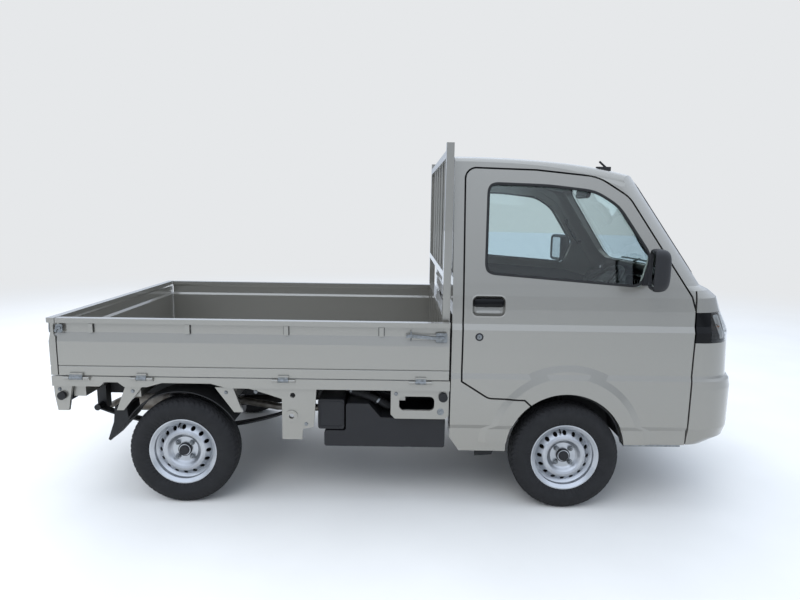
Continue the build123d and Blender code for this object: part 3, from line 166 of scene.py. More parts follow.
def smooth(points, per):
    """A curve through the points: each run is the cubic with end slopes of half the neighbours' distance."""
    p = np.asarray(points, float)
    q = np.concatenate([2 * p[:1] - p[1:2], p, 2 * p[-1:] - p[-2:-1]])
    a, b, c, d = q[:-3], q[1:-2], q[2:-1], q[3:]
    t = np.linspace(0, 1, per, endpoint=False)[None, :, None]
    a, b, c, d = (v[:, None] for v in (a, b, c, d))
    run = 0.5 * (2 * b + (c - a) * t + (2 * a - 5 * b + 4 * c - d) * t**2 + (3 * b - a - 3 * c + d) * t**3)
    return np.concatenate([run.reshape(-1, p.shape[1]), p[-1:]])


def spaced(points, step, closed=False):
    """Points at even distances along a line: each coordinate is read off at equal steps of length."""
    p = np.asarray(points, float)
    if closed:
        p = np.concatenate([p, p[:1]])
    length = np.concatenate([[0], np.cumsum(np.linalg.norm(np.diff(p, axis=0), axis=1))])
    count = max(2, int(round(length[-1] / step)))
    at = np.linspace(0, length[-1], count + (0 if closed else 1), endpoint=not closed)
    return np.stack([np.interp(at, length, p[:, k]) for k in range(p.shape[1])], 1)


def inset(outline, amount):
    """A closed outline moved inwards: each point along the mean of its two sides' normals."""
    p = np.asarray(outline, float)
    a, b = unit(p - np.roll(p, 1, 0)), unit(np.roll(p, -1, 0) - p)
    turn = np.sign(np.sum(p[:, 0] * np.roll(p[:, 1], -1) - np.roll(p[:, 0], -1) * p[:, 1]))
    na, nb = np.stack([-a[:, 1], a[:, 0]], 1), np.stack([-b[:, 1], b[:, 0]], 1)
    m = unit(na + nb)
    return p + turn * amount * m / np.maximum(np.sum(m * nb, 1, keepdims=True), 0.5)


def plate(outline, origin, u, v, thickness, edge=0.0):
    """An outline given thickness: origin + a * u + b * v - depth * (u x v), its edges cut back by insets."""
    u, v = unit(u), unit(v)
    n = np.cross(u, v)
    rings = [(0, 0), (0, thickness)]
    if edge:
        rings = [(edge, 0.0), (0.0, edge), (0.0, thickness - edge), (edge, thickness)]
    levels = []
    for back, depth in rings:
        q = inset(outline, back) if back else np.asarray(outline, float)
        levels.append(np.asarray(origin) + q[:, :1] * u + q[:, 1:] * v - depth * n)
    return ring_sheet(levels, True)


def hexagon(radius):
    """A nut's outline: six points round a circle."""
    return circle(radius, 6)


def channel(distance, width, depth=1.0, power=2):
    """A channel's depth at a distance from its middle: depth * exp(-(distance / width)^power)."""
    return depth * np.exp(-((distance / width) ** power))


def piece(name, surfaces, finish, body="chassis", slot=None, angle=35.0, closed=True):
    """Joins surfaces into one welded object at the origin, turns closed shells outward and lets it ride.

    A material slot is looked up, from the argument or else the finish, but not given to the part."""
    points, faces, start = [], [], 0
    for p, groups in surfaces:
        points.append(p)
        for g in groups:
            faces += (g + start).tolist()
        start += len(p)
    mesh = bpy.data.meshes.new(name)
    mesh.from_pydata(np.concatenate(points).tolist(), [], faces)
    work = bmesh.new()
    work.from_mesh(mesh)
    bmesh.ops.remove_doubles(work, verts=work.verts, dist=1e-6)
    bmesh.ops.dissolve_degenerate(work, edges=work.edges, dist=1e-7)
    if closed:
        bmesh.ops.recalc_face_normals(work, faces=work.faces)
    work.to_mesh(mesh)
    work.free()
    mesh.polygons.foreach_set("use_smooth", np.ones(len(mesh.polygons), bool))
    mesh.set_sharp_from_angle(angle=math.radians(angle))
    mesh.materials.append(FINISH[finish])
    obj = bpy.data.objects.new(name, mesh)
    bpy.context.scene.collection.objects.link(obj)
    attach(obj, body)
    slot = slot or FINISH_SLOT.get(finish)
    return obj


# ---- the cab's own surface --------------------------------------------------------------


def cab_row(z):
    """Half width, front edge, corner radius and bow at a height, between the two nearest rows."""
    z = np.asarray(z, float)
    return [np.interp(z, CAB_ROWS[:, 0], CAB_ROWS[:, k]) for k in (1, 2, 3, 4)]


def nose_x(y, z):
    """The front's place: an arc as high as the bow between the corners, then the corner's circle."""
    w, front, corner, bow = cab_row(z)
    a = np.abs(np.asarray(y, float))
    half = w - corner
    big = (half**2 + bow**2) / (2 * bow)
    on_bow = front + bow - big + np.sqrt(np.maximum(big**2 - a**2, 0))
    on_corner = front - corner + np.sqrt(np.maximum(corner**2 - np.clip(a - half, 0, None) ** 2, 0))
    return np.where(a <= half, on_bow, on_corner)


def on_side(outline, stand, side):
    """A side-view outline laid on the cab's side: y = side * (half width at that height + stand)."""
    outline = np.asarray(outline, float)
    half_width = cab_row(outline[:, 1])[0] + stand
    return np.stack([outline[:, 0], side * half_width, outline[:, 1]], 1)


def on_nose(outline, stand=0.0):
    """A front-view outline laid on the cab's front: x = the front's place + stand."""
    outline = np.asarray(outline, float)
    return np.stack([nose_x(outline[:, 0], outline[:, 1]) + stand, outline[:, 0], outline[:, 1]], 1)


def nose_normal(outline):
    """The front's outward direction: (1, -slope across, -slope up) at length one."""
    y, z = np.asarray(outline, float).T
    step = 0.002
    across = (nose_x(y + step, z) - nose_x(y - step, z)) / (2 * step)
    up = (nose_x(y, z + step) - nose_x(y, z - step)) / (2 * step)
    return unit(np.stack([np.ones_like(y), -across, -up], 1))


def side_normal(outline, side):
    """The side's outward direction: (0, side, -change of the half width with height) at length one."""
    z = np.asarray(outline, float)[:, 1]
    step = 0.004
    slope = (cab_row(z + step)[0] - cab_row(z - step)[0]) / (2 * step)
    return unit(np.stack([np.zeros_like(z), np.full_like(z, side), -slope], 1))


def raised(outline, side, rings):
    """A shape on the cab's side: a ring per pair of inset and stand, and a cap over the last ring."""
    levels = [on_side(inset(outline, back) if back else outline, stand, side) for back, stand in rings]
    points, faces = ring_sheet(levels)
    count = len(outline)
    faces.append(np.arange(count)[None, :] + (len(rings) - 1) * count)
    return points, faces if side < 0 else [f[:, ::-1] for f in faces]


def lamp_place(s, z, depth, side):
    """A place in a headlamp: s runs outwards along the front's arc and then, as an angle of s / radius,
    round the corner's circle; depth goes inwards."""
    w, front, corner = cab_row(z)[:3]
    half = w - corner
    start = 0.440
    flat = np.minimum(s, half - start)
    turn = np.clip((s - (half - start)) / corner, 0, None)
    a = start + flat
    x = nose_x(a, z) - depth
    x = np.where(turn > 0, front - corner + (corner - depth) * np.cos(turn), x)
    y = np.where(turn > 0, half + (corner - depth) * np.sin(turn), a)
    return np.stack([x, side * y, z], -1)


def bumper_front(outline, stand):
    """A front-view outline laid on the bumper's arc: x = front + bow - R + sqrt(R^2 - y^2) + stand."""
    outline = np.asarray(outline, float)
    half, bow, front = 0.537, 0.0155, 1.682
    big = (half**2 + bow**2) / (2 * bow)
    x = front + bow - big + np.sqrt(big**2 - np.minimum(np.abs(outline[:, 0]), half) ** 2)
    return np.stack([x + stand, outline[:, 0], outline[:, 1]], 1)


def dash_face(z):
    """The dashboard's rear face: its place along the truck, read off straight runs between four heights."""
    return np.interp(z, mm(800, 930, 1010, 1078), mm(1330, 1345, 1292, 1322))


def card_plate(outline, side, depth, thickness):
    """A side-view outline inside a door: y = side * (half width - depth), thicker towards the cab."""
    y = cab_row(outline[:, 1])[0]
    edge = inset(outline, 0.003)
    rows = ((outline, depth), (outline, depth + thickness - 0.002), (edge, depth + thickness))
    return ring_sheet([np.stack([q[:, 0], side * (y - d), q[:, 1]], 1) for q, d in rows], True)


# ---- materials ---------------------------------------------------------------------------


def linear(hex_colour):
    """An sRGB hex colour as linear numbers with full alpha."""
    c = np.array([int(hex_colour[i:i + 2], 16) for i in (1, 3, 5)]) / 255
    c = np.where(c <= 0.04045, c / 12.92, ((c + 0.055) / 1.055) ** 2.4)
    return (*c, 1.0)


def add_node(tree, kind, inputs=None, **settings):
    """Adds one node with its settings; an input is a value or the socket that feeds it."""
    made = tree.nodes.new(kind)
    for name, value in settings.items():
        setattr(made, name, value)
    for name, value in (inputs or {}).items():
        if isinstance(value, bpy.types.NodeSocket):
            tree.links.new(value, made.inputs[name])
        else:
            made.inputs[name].default_value = value
    return made


def surface(name, colour, **values):
    """A new material with its shader's sockets set, with its tree, shader and object coordinates."""
    made = bpy.data.materials.new(name)
    made.use_nodes = True
    tree = made.node_tree
    shader = tree.nodes["Principled BSDF"]
    shader.inputs["Base Color"].default_value = linear(colour)
    for socket, value in values.items():
        shader.inputs[socket.replace("_", " ")].default_value = value
    place = add_node(tree, "ShaderNodeTexCoord").outputs["Object"]
    return made, tree, shader, place


def mottled(tree, shader, place, low, high, scale, detail=4.0):
    """Colour that wanders between two hex colours with a noise of the given scale."""
    noise = add_node(tree, "ShaderNodeTexNoise", {"Vector": place, "Scale": scale, "Detail": detail})
    ramp = add_node(tree, "ShaderNodeValToRGB", {"Fac": noise.outputs["Fac"]})
    ramp.color_ramp.elements[0].position, ramp.color_ramp.elements[1].position = 0.35, 0.65
    ramp.color_ramp.elements[0].color, ramp.color_ramp.elements[1].color = linear(low), linear(high)
    tree.links.new(ramp.outputs["Color"], shader.inputs["Base Color"])
    return noise


def bumped(tree, shader, height, strength, distance):
    """A bump from a height socket."""
    bump = add_node(tree, "ShaderNodeBump", {"Height": height, "Strength": strength, "Distance": distance})
    tree.links.new(bump.outputs["Normal"], shader.inputs["Normal"])


def colour_mix(tree, factor, first, second):
    """Two colours mixed by a socket: (1 - factor) * first + factor * second."""
    made = add_node(tree, "ShaderNodeMix", {"Factor": factor}, data_type="RGBA")
    for number, colour in ((6, first), (7, second)):
        if isinstance(colour, bpy.types.NodeSocket):
            tree.links.new(colour, made.inputs[number])
        else:
            made.inputs[number].default_value = linear(colour)
    return made.outputs[2]


def body_enamel(colour):
    """Baked metallic enamel under clear lacquer: flakes sparkle faintly, the lacquer reflects sharply and
    the colour turns darker and browner towards the ground, in patches."""
    made, tree, shader, place = surface(
        "baked metallic enamel", colour, Metallic=0.7, Roughness=0.3, Coat_Weight=1.0, Coat_Roughness=0.03)
    flakes = add_node(tree, "ShaderNodeTexVoronoi", {"Vector": place, "Scale": 900.0})
    height = add_node(tree, "ShaderNodeSeparateXYZ", {"Vector": place})
    # colour mixed towards a darker brown below 0.62 m, fullest at 0.30 m and lower, in noise patches
    low = add_node(tree, "ShaderNodeMapRange", {
        "Value": height.outputs["Z"], "From Min": 0.62, "From Max": 0.30, "To Min": 0.0, "To Max": 0.22})
    noise = add_node(tree, "ShaderNodeTexNoise", {"Vector": place, "Scale": 9.0, "Detail": 6.0})
    darkening_share = add_node(tree, "ShaderNodeMath", {0: low.outputs["Result"], 1: noise.outputs["Fac"]},
                    operation="MULTIPLY")
    base = colour_mix(tree, flakes.outputs["Distance"], colour, darker(colour, 0.93))
    darkened_base = colour_mix(tree, darkening_share.outputs["Value"], base, "#8a8275")
    tree.links.new(darkened_base, shader.inputs["Base Color"])
    peel = add_node(tree, "ShaderNodeTexNoise", {"Vector": place, "Scale": 260.0, "Detail": 1.0})
    bumped(tree, shader, peel.outputs["Fac"], 0.06, 0.0004)
    return made


def darker(hex_colour, share):
    """A hex colour with each channel multiplied."""
    return "#" + "".join(f"{int(int(hex_colour[i:i + 2], 16) * share):02x}" for i in (1, 3, 5))


def grained_plastic(name, colour, roughness, grain=900.0, depth=0.15, cloud=0.92, ior=1.49):
    """Moulded polypropylene: a fine leather-like grain breaks up the highlight."""
    made, tree, shader, place = surface(name, colour, Roughness=roughness, IOR=ior)
    mottled(tree, shader, place, darker(colour, cloud), colour, 12.0, 2.0)
    grain_node = add_node(tree, "ShaderNodeTexVoronoi", {"Vector": place, "Scale": grain})
    bumped(tree, shader, grain_node.outputs["Distance"], depth, 0.0006)
    return made


def rubber(name, colour, roughness):
    """Vulcanised rubber, dull, with a faint grey bloom."""
    made, tree, shader, place = surface(name, colour, Roughness=roughness, IOR=1.52)
    mottled(tree, shader, place, colour, lighter(colour, 7), 26.0)
    fine = add_node(tree, "ShaderNodeTexNoise", {"Vector": place, "Scale": 500.0, "Detail": 2.0})
    bumped(tree, shader, fine.outputs["Fac"], 0.12, 0.0005)
    return made


def lighter(hex_colour, steps):
    """A hex colour with each channel raised by some steps of 255."""
    return "#" + "".join(f"{min(255, int(hex_colour[i:i + 2], 16) + steps):02x}" for i in (1, 3, 5))


def metal(name, colour, roughness, scratches, metallic=1.0, worn=None):
    """Bare or plated metal: uneven brightness from handling and corrosion."""
    made, tree, shader, place = surface(name, colour, Metallic=metallic, Roughness=roughness)
    noise = mottled(tree, shader, place, worn or darker(colour, 0.8), colour, scratches)
    bumped(tree, shader, noise.outputs["Fac"], 0.1, 0.0005)
    return made


def clear(name, colour, ior=1.5, roughness=0.0):
    """Clear sheet: transmits with a faint tint."""
    made, tree, shader, place = surface(name, colour, Roughness=roughness, IOR=ior, Transmission_Weight=1.0)
    haze = add_node(tree, "ShaderNodeTexNoise", {"Vector": place, "Scale": 3.0, "Detail": 3.0})
    bumped(tree, shader, haze.outputs["Fac"], 0.01, 0.0005)
    return made


def woven(name, colour, second, thread=0.0022):
    """Plain-weave polyester with threads wide enough to show: two crossed waves, the higher one on top."""
    made, tree, shader, place = surface(name, colour, Roughness=0.85, Sheen_Weight=0.3, Sheen_Roughness=0.5)
    scale = 1.0 / thread / 20.0
    waves = [add_node(tree, "ShaderNodeTexWave", {"Vector": place, "Scale": scale * 6.3, "Distortion": 0.4},
                      bands_direction=direction) for direction in ("Y", "DIAGONAL")]
    both = add_node(tree, "ShaderNodeMath", {k: wave.outputs["Fac"] for k, wave in enumerate(waves)},
                    operation="MAXIMUM")
    tree.links.new(colour_mix(tree, both.outputs["Value"], second, colour), shader.inputs["Base Color"])
    bumped(tree, shader, both.outputs["Value"], 0.4, 0.0006)
    return made


FINISH = {}


def mix_finishes(colours):
    """Every material of the truck, under a plain name of what it is."""
    FINISH.update(
        enamel=body_enamel(colours.body),
        chassis=metal("black chassis enamel", "#111112", 0.55, 18.0, 0.0, "#0a0a0b"),
        plastic=grained_plastic("grained polypropylene", "#121215", 0.6),
        gloss=grained_plastic("polished ABS", "#030304", 0.12, 400.0, 0.02, ior=1.3),
        dash=grained_plastic("dashboard polypropylene", "#2e2e31", 0.6, 700.0, 0.12),
        seal=rubber("EPDM seal", "#09090a", 0.7),
        tyre=rubber("tyre rubber", "#0b0b0d", 0.82),
        wheel=metal("silver wheel enamel", colours.wheel, 0.3, 14.0, 0.9, darker(colours.wheel, 0.94)),
        iron=metal("cast iron", "#26221f", 0.7, 30.0, 0.4, "#1c1815"),
        zinc=metal("zinc-plated steel", "#8e9193", 0.42, 60.0),
        galvanised=metal("aluminised exhaust steel", "#8a8680", 0.45, 20.0, 0.9, "#5d564e"),
        mirror=metal("silvered mirror glass", "#f2f4f5", 0.02, 2.0),
        bright=metal("vacuum-metallised reflector", "#f4f5f6", 0.28, 3.0),
        window=clear("tempered window glass", "#dde9ea", 1.5),
        lens=clear("polycarbonate lamp cover", "#d9dcde", 1.3),
        amber=clear("amber acrylic", "#f08a1c", 1.49, 0.1),
        dash_soft=grained_plastic("soft urethane", "#242426", 0.6, 900.0, 0.3),
        webbing=woven("polyester belt webbing", "#26262a", "#131316", 0.003),
        red=clear("red acrylic", "#b0101a", 1.49, 0.12),
        cloth=woven("woven polyester seat cloth", "#5a5b60", "#3c3d42"),
        mat=grained_plastic("vinyl floor mat", "#202022", 0.8, 300.0, 0.5),
        lining=woven("headliner felt", "#b9b7b2", "#a9a7a2", 0.004),
        blank=grained_plastic("white enamelled plate", "#d6d6d1", 0.35, 300.0, 0.02, 0.99),
    )


FINISH_SLOT = {
    "enamel": "body_paint", "chassis": "chassis_black", "plastic": "black_plastic", "gloss": "black_plastic",
    "dash": "dash_plastic", "dash_soft": "dash_plastic", "seal": "rubber_black", "mat": "rubber_black",
    "tyre": "tyre_rubber", "iron": "axle_iron", "zinc": "bare_steel", "galvanised": "bare_steel",
    "bright": "bare_steel", "mirror": "window_glass", "lens": "clear_lens", "amber": "clear_lens",
    "red": "lamp_red", "cloth": "seat_fabric", "webbing": "seat_fabric", "lining": "seat_fabric",
}

NODE_FINISH = {node: finish for finish, nodes in {
    "enamel": "cab_shell front_panel front_bumper door_right door_left side_gate_right side_gate_left "
              "tailgate guard_frame bed_floor bed_stays",
    "window": "cab_glass door_right_glass door_left_glass",
    "lens": "headlamp_lenses",
    "red": "tail_lamps",
    "gloss": "headlamp_housings",
    "plastic": "door_right_trim door_left_trim side_boxes wipers antenna",
    "dash": "dashboard steering_column steering_wheel",
    "cloth": "seat_cushions seat_backs",
    "chassis": "frame_rails rear_axle suspension",
    "seal": "gate_stops arch_liners",
    "iron": "engine driveline knuckle_right knuckle_left",
    "galvanised": "exhaust",
    "wheel": "rim_front_right rim_front_left rim_rear_right rim_rear_left",
}.items() for node in nodes.split()}


# ---- properties ---------------------------------------------------------------------------


BACKDROP = "#e6e8ea"


class TruckColours(bpy.types.PropertyGroup):
    """Colours that a user would change."""

    body: bpy.props.StringProperty(name="Body", description="Body enamel as sRGB hex", default="#94928b")
    wheel: bpy.props.StringProperty(name="Wheels", description="Wheel enamel as sRGB hex", default="#b9bcc0")
    floor: bpy.props.StringProperty(name="Floor", description="Studio floor as sRGB hex", default="#cdcdcb")


class TruckSizes(bpy.types.PropertyGroup):
    """Sizes of the added detail."""

    tread: bpy.props.FloatProperty(
        name="Tread depth", description="Depth of the tyre grooves", default=0.006, unit="LENGTH", min=0.0,
        max=0.01)
    seal: bpy.props.FloatProperty(
        name="Seal width", description="Width of the window seals", default=0.013, unit="LENGTH", min=0.005,
        max=0.03)
    pitches: bpy.props.IntProperty(
        name="Tread pitches", description="Repeats of the tread round a tyre", default=60, min=20, max=90)


# ---- operators ----------------------------------------------------------------------------


class TRUCK_OT_stage(bpy.types.Operator):
    """Pale floor, soft lamps, plain world, and the camera at the photo's view"""

    bl_idname = "truck.stage"
    bl_label = "Stage"

    def execute(self, context):
        """Floor, world, lamps and camera, with colours shown as they are."""
        scene = context.scene
        scene.view_settings.view_transform = "Standard"
        self.floor(scene)
        self.world(scene)
        self.lamps(scene)
        self.camera(scene)
        return {"FINISHED"}

    def floor(self, scene):
        """A wide disc that fades into the backdrop's colour between 3 m and 11 m from the middle."""
        colour = scene.truck_colours.floor
        ground, tree, shader, place = surface("pale studio floor", colour, Roughness=0.6)
        mottled(tree, shader, place, darker(colour, 0.985), colour, 1.5)
        sight = add_node(tree, "ShaderNodeLightPath")
        reach = add_node(tree, "ShaderNodeVectorMath", {0: place}, operation="LENGTH")
        far = add_node(tree, "ShaderNodeMapRange", {
            "Value": reach.outputs["Value"], "From Min": 3.0, "From Max": 11.0,
        }, interpolation_type="SMOOTHSTEP")
        share = add_node(tree, "ShaderNodeMath", {
            0: far.outputs["Result"], 1: sight.outputs["Is Camera Ray"]}, operation="MULTIPLY")
        haze = add_node(tree, "ShaderNodeEmission", {"Color": linear(BACKDROP), "Strength": 1.0})
        fade = add_node(tree, "ShaderNodeMixShader", {"Fac": share.outputs["Value"]})
        tree.links.new(shader.outputs["BSDF"], fade.inputs[1])
        tree.links.new(haze.outputs["Emission"], fade.inputs[2])
        tree.links.new(fade.outputs["Shader"], tree.nodes["Material Output"].inputs["Surface"])
        mesh = bpy.data.meshes.new("floor")
        edge = np.concatenate([circle(40.0, 64), np.zeros((64, 1))], 1)
        mesh.from_pydata(edge.tolist(), [], [list(range(64))])
        mesh.materials.append(ground)
        floor = bpy.data.objects.new("floor", mesh)
        scene.collection.objects.link(floor)

    def world(self, scene):
        """The backdrop's colour for what the camera sees, and for light a sky that brightens upwards."""
        world = bpy.data.worlds.new("studio")
        world.use_nodes = True
        scene.world = world
        tree = world.node_tree
        sky = tree.nodes["Background"]
        rays = add_node(tree, "ShaderNodeLightPath")
        seen = add_node(tree, "ShaderNodeMath", {
            0: rays.outputs["Is Camera Ray"], 1: rays.outputs["Is Transmission Ray"]}, operation="MAXIMUM")
        backdrop = add_node(tree, "ShaderNodeBackground", {"Color": linear(BACKDROP), "Strength": 1.0})
        sky.inputs["Color"].default_value = linear("#dbe5f4")
        way = add_node(tree, "ShaderNodeTexCoord")
        height = add_node(tree, "ShaderNodeSeparateXYZ", {"Vector": way.outputs["Generated"]})
        glow = add_node(tree, "ShaderNodeMapRange", {
            "Value": height.outputs["Z"], "From Min": -0.05, "From Max": 0.6, "To Min": 0.5, "To Max": 1.9})
        tree.links.new(glow.outputs["Result"], sky.inputs["Strength"])
        blend = add_node(tree, "ShaderNodeMixShader", {"Fac": seen.outputs["Value"]})
        tree.links.new(sky.outputs[0], blend.inputs[1])
        tree.links.new(backdrop.outputs[0], blend.inputs[2])
        tree.links.new(blend.outputs[0], tree.nodes["World Output"].inputs["Surface"])

    def lamps(self, scene):
        """Four round lamps, each with its place, aim, size and power."""
        for name, place, aim, size, power in (
            ("key", (-1.6, -5.4, 6.0), (0, 0, 0.7), 4.0, 160.0),
            ("fill", (-5.5, -3.0, 3.4), (-0.3, 0, 0.7), 4.5, 90.0),
            ("top", (-0.5, 0.6, 6.5), (0, 0, 0), 6.0, 170.0),
            ("back", (-3.0, 6.0, 4.5), (0, 0, 0.7), 4.0, 170.0),
        ):
            lamp = bpy.data.lights.new(name, "AREA")
            lamp.shape, lamp.size, lamp.energy = "DISK", size, power
            holder = bpy.data.objects.new(name, lamp)
            scene.collection.objects.link(holder)
            holder.location = place
            holder.visible_glossy = False
            holder.rotation_euler = (Vector(aim) - Vector(place)).to_track_quat("-Z", "Y").to_euler()

    def camera(self, scene):
        """The photo's view: forward from pitch and yaw, and right and up turned about it by the roll."""
        at = (-0.0042, -3.4308, 1.4747)
        pitch, yaw, roll = math.radians(-8.84), math.radians(0.03), math.radians(0.82)
        forward = Vector((math.sin(yaw) * math.cos(pitch), math.cos(yaw) * math.cos(pitch), math.sin(pitch)))
        right = forward.cross(Vector(UP)).normalized()
        up = right.cross(forward)
        right, up = right * math.cos(roll) + up * math.sin(roll), up * math.cos(roll) - right * math.sin(roll)
        view = bpy.data.cameras.new("photo view")
        view.sensor_width, view.lens = 36.0, 25.95
        camera = bpy.data.objects.new("photo view", view)
        scene.collection.objects.link(camera)
        rows = [(right[k], up[k], -forward[k], at[k]) for k in range(3)]
        camera.matrix_world = Matrix((*rows, (0, 0, 0, 1)))
        scene.camera = camera


class TRUCK_OT_finishes(bpy.types.Operator):
    """Gives every carried-over piece its real finish"""

    bl_idname = "truck.finishes"
    bl_label = "Finishes"

    def execute(self, context):
        """Mixes the finishes and puts one on each of the frame's nodes, by the node's name."""
        mix_finishes(context.scene.truck_colours)
        for name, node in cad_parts.items():
            if name in NODE_FINISH:
                node.data.materials.clear()
                node.data.materials.append(FINISH[NODE_FINISH[name]])
        return {"FINISHED"}


class TRUCK_OT_tyres(bpy.types.Operator):
    """Treaded tyres in the place of the plain ones"""

    bl_idname = "truck.tyres"
    bl_label = "Tyres"

    def execute(self, context):
        """A section turned about the axle: radius - depth of tread, and its width + rings - shoulder cuts."""
        sizes = context.scene.truck_sizes
        half = mm(
            (0, 268), (8, 268), (17, 268), (26, 268), (36, 267.6), (46, 266), (52, 263.5), (57, 259),
            (62, 252), (67, 243), (71, 232), (72.5, 220), (72, 208), (70.5, 203), (70, 199), (67, 189),
            (63, 179), (60, 173), (57, 169.5), (53, 167.5))
        right = smooth(half, 3)
        section = np.concatenate([right[::-1] * (-1, 1), right[1:]])
        across, radius = section[None, :, 0], section[None, :, 1]
        away = np.abs(across)
        columns = sizes.pitches * 8
        turn = (np.arange(columns) * 2 * math.pi / columns)[:, None]
        phase = (turn * sizes.pitches / (2 * math.pi) + 0.35 * np.sin(across * 120)) % 1.0
        # Radius where the tread ends, and how far from the middle its outer lugs and its shoulder cuts lie
        tread_edge, lug_start, shoulder_at = 0.2585, 0.041, 0.0615
        on_tread = radius > tread_edge
        in_notch, in_slit = np.abs(phase - 0.5) < 0.17, np.abs(phase - 0.5) < 0.1
        groove = np.maximum(channel(away - 0.0145, 0.0032, power=4), channel(away - 0.0385, 0.0028, power=4))
        notch = in_notch * np.clip((away - lug_start) / 0.004, 0, 1)
        slit = in_slit * (away < lug_start) * 0.55
        depth = sizes.tread * np.where(on_tread, np.maximum(np.maximum(groove, notch), slit), 0.0)
        shoulder = in_notch * channel(away - shoulder_at, 0.007) * ~on_tread * 0.0022
        rings = channel(radius - 0.2035, 0.0016, 0.0009) + channel(radius - 0.181, 0.0015, 0.0008)
        r = radius - depth
        out = np.sign(across) * (away + rings - shoulder)
        for name, x, y, outward in WHEELS:
            grid = np.stack([x + r * np.cos(turn), y + out * outward, AXLE_Z + r * np.sin(turn)], -1)
            made = piece(f"tyre_tread_{name}", [sheet(grid, True)], "tyre", f"wheel_{name}", angle=28.0)
            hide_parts(f"tyre_{name}")
        return {"FINISHED"}


def round_hub(centre, radius, angle, out=0):
    """A point beside a wheel's centre in millimetres: radius * (cos angle, sin angle) and outwards."""
    return centre + mm(radius * math.cos(angle), out, radius * math.sin(angle))


class TRUCK_OT_wheels(bpy.types.Operator):
    """Hub caps, wheel nuts with their washers, and tyre valves"""

    bl_idname = "truck.wheels"
    bl_label = "Wheels"

    def execute(self, context):
        """Profiles turned about the axle or about each nut, four to a wheel."""
        for name, x, y, outward in WHEELS:
            axis = np.array([0, outward, 0.0])
            centre = np.array([x, y, AXLE_Z])
            dome = smooth(mm((0, 47), (14, 46.5), (22, 45), (24.5, 41), (25, 34), (33, 33), (34, 21)), 4)
            cap = [turned(dome, centre, axis, 48)]
            for k in range(4):
                spot = round_hub(centre, 17, k * math.pi / 2)
                cap.append(turned(mm((0, 48.2), (4.2, 47.5), (5.0, 44)), spot, axis, 16))
            piece(f"hub_cap_{name}", cap, "plastic", f"wheel_{name}")
            nuts = []
            for k in range(4):
                spot = round_hub(centre, 50, math.pi / 4 + k * math.pi / 2)
                end = spot + axis * 0.037
                nuts.append(plate(hexagon(0.0105), end, AHEAD, (0, 0, -outward), 0.018, 0.0012))
                nuts.append(turned(mm((0, 43), (4, 42.5), (6.5, 39), (7, 34)), spot, axis, 16))
                nuts.append(turned(mm((13.5, 20), (13.5, 23), (11, 25)), spot, axis, 20))
            piece(f"wheel_nuts_{name}", nuts, "zinc", f"wheel_{name}", "wheel_silver")
            t = math.radians(100)
            foot = round_hub(centre, 138, t, 14 * outward)
            lean = unit(axis + 0.45 * np.array([-math.cos(t), 0, -math.sin(t)]))
            stem = mm((5, -4), (5, 4), (3.4, 8), (3.4, 22), (4, 24), (4, 33), (0, 34))
            piece(f"valve_{name}", [turned(stem, foot, lean, 16)], "seal", f"wheel_{name}")
        return {"FINISHED"}


class TRUCK_OT_seals(bpy.types.Operator):
    """Rubber round the windows, and inside the door gaps a seal whose black is also painted shade"""

    bl_idname = "truck.seals"
    bl_label = "Seals"

    def execute(self, context):
        """One lipped profile carried round each window, and a round one inside each door gap, a real seal
        that is also painted shade darkening the gap.
        """
        width = context.scene.truck_sizes.seal
        window = mm((412, 1612), (700, 1604), (925, 1580), (1040, 1510), (1200, 1272), (1152, 1127),
                    (404, 1182))
        outline = spaced(rounded(window, 0.05, 8), 0.012, True)
        lip = np.array([(-0.3, -0.004), (0.7, -0.004), (0.7, 0.0012), (0.1, 0.003), (-0.3, 0.0012)])
        profile = rounded(lip * (width, 1), 0.001, 3)
        # Along the truck, height and corner radius of the door's opening
        door = mm(
            (306, 1678, 48), (640, 1670, 60), (935, 1642, 120), (1085, 1548, 80), (1392, 1082, 40),
            (1413, 1015, 20), (1413, 346, 5), (1113, 346, 5), (1090, 425, 30), (1040, 505, 30),
            (960, 567, 30), (860, 600, 30), (760, 597, 30), (690, 573, 20), (648, 546, 4),
            (612, 575, 15), (436, 579, 60), (306, 661, 20))
        gap = inset(spaced(rounded(door[:, :2], door[:, 2], 6), 0.015, True), -0.004)
        for name, side in SIDES:
            path, normal = on_side(outline, 0.0, side), side_normal(outline, side)
            seal = swept(path, normal, profile * (-side, 1), True)
            piece(f"window_seal_{name}", [seal], "seal", f"door_{name}")
            # a real door seal, set deep in the gap so the gap reads dark: partly painted shade
            seal = swept(on_side(gap, -0.024, side), side_normal(gap, side), circle(0.0055, 8), True)
            piece(f"door_seal_and_gap_shade_{name}", [seal], "seal")
        screen = mm((-602, 1172), (602, 1172), (548, 1632), (-548, 1632))
        outline = spaced(rounded(screen, 0.07, 8), 0.02, True)
        seal = swept(on_nose(outline), nose_normal(outline), profile * (1.5, 1), True)
        piece("screen_seal", [seal], "seal")
        rear_wall, rear_middle = 0.25, 1.375
        rear = spaced(rectangle(1.0, 0.37, 0.06, 8), 0.02, True)
        path = np.stack([np.full(len(rear), rear_wall), rear[:, 0], rear[:, 1] + rear_middle], 1)
        piece("rear_window_seal", [swept(path, BACK, profile * (-1.5, 1), True)], "seal")
        return {"FINISHED"}


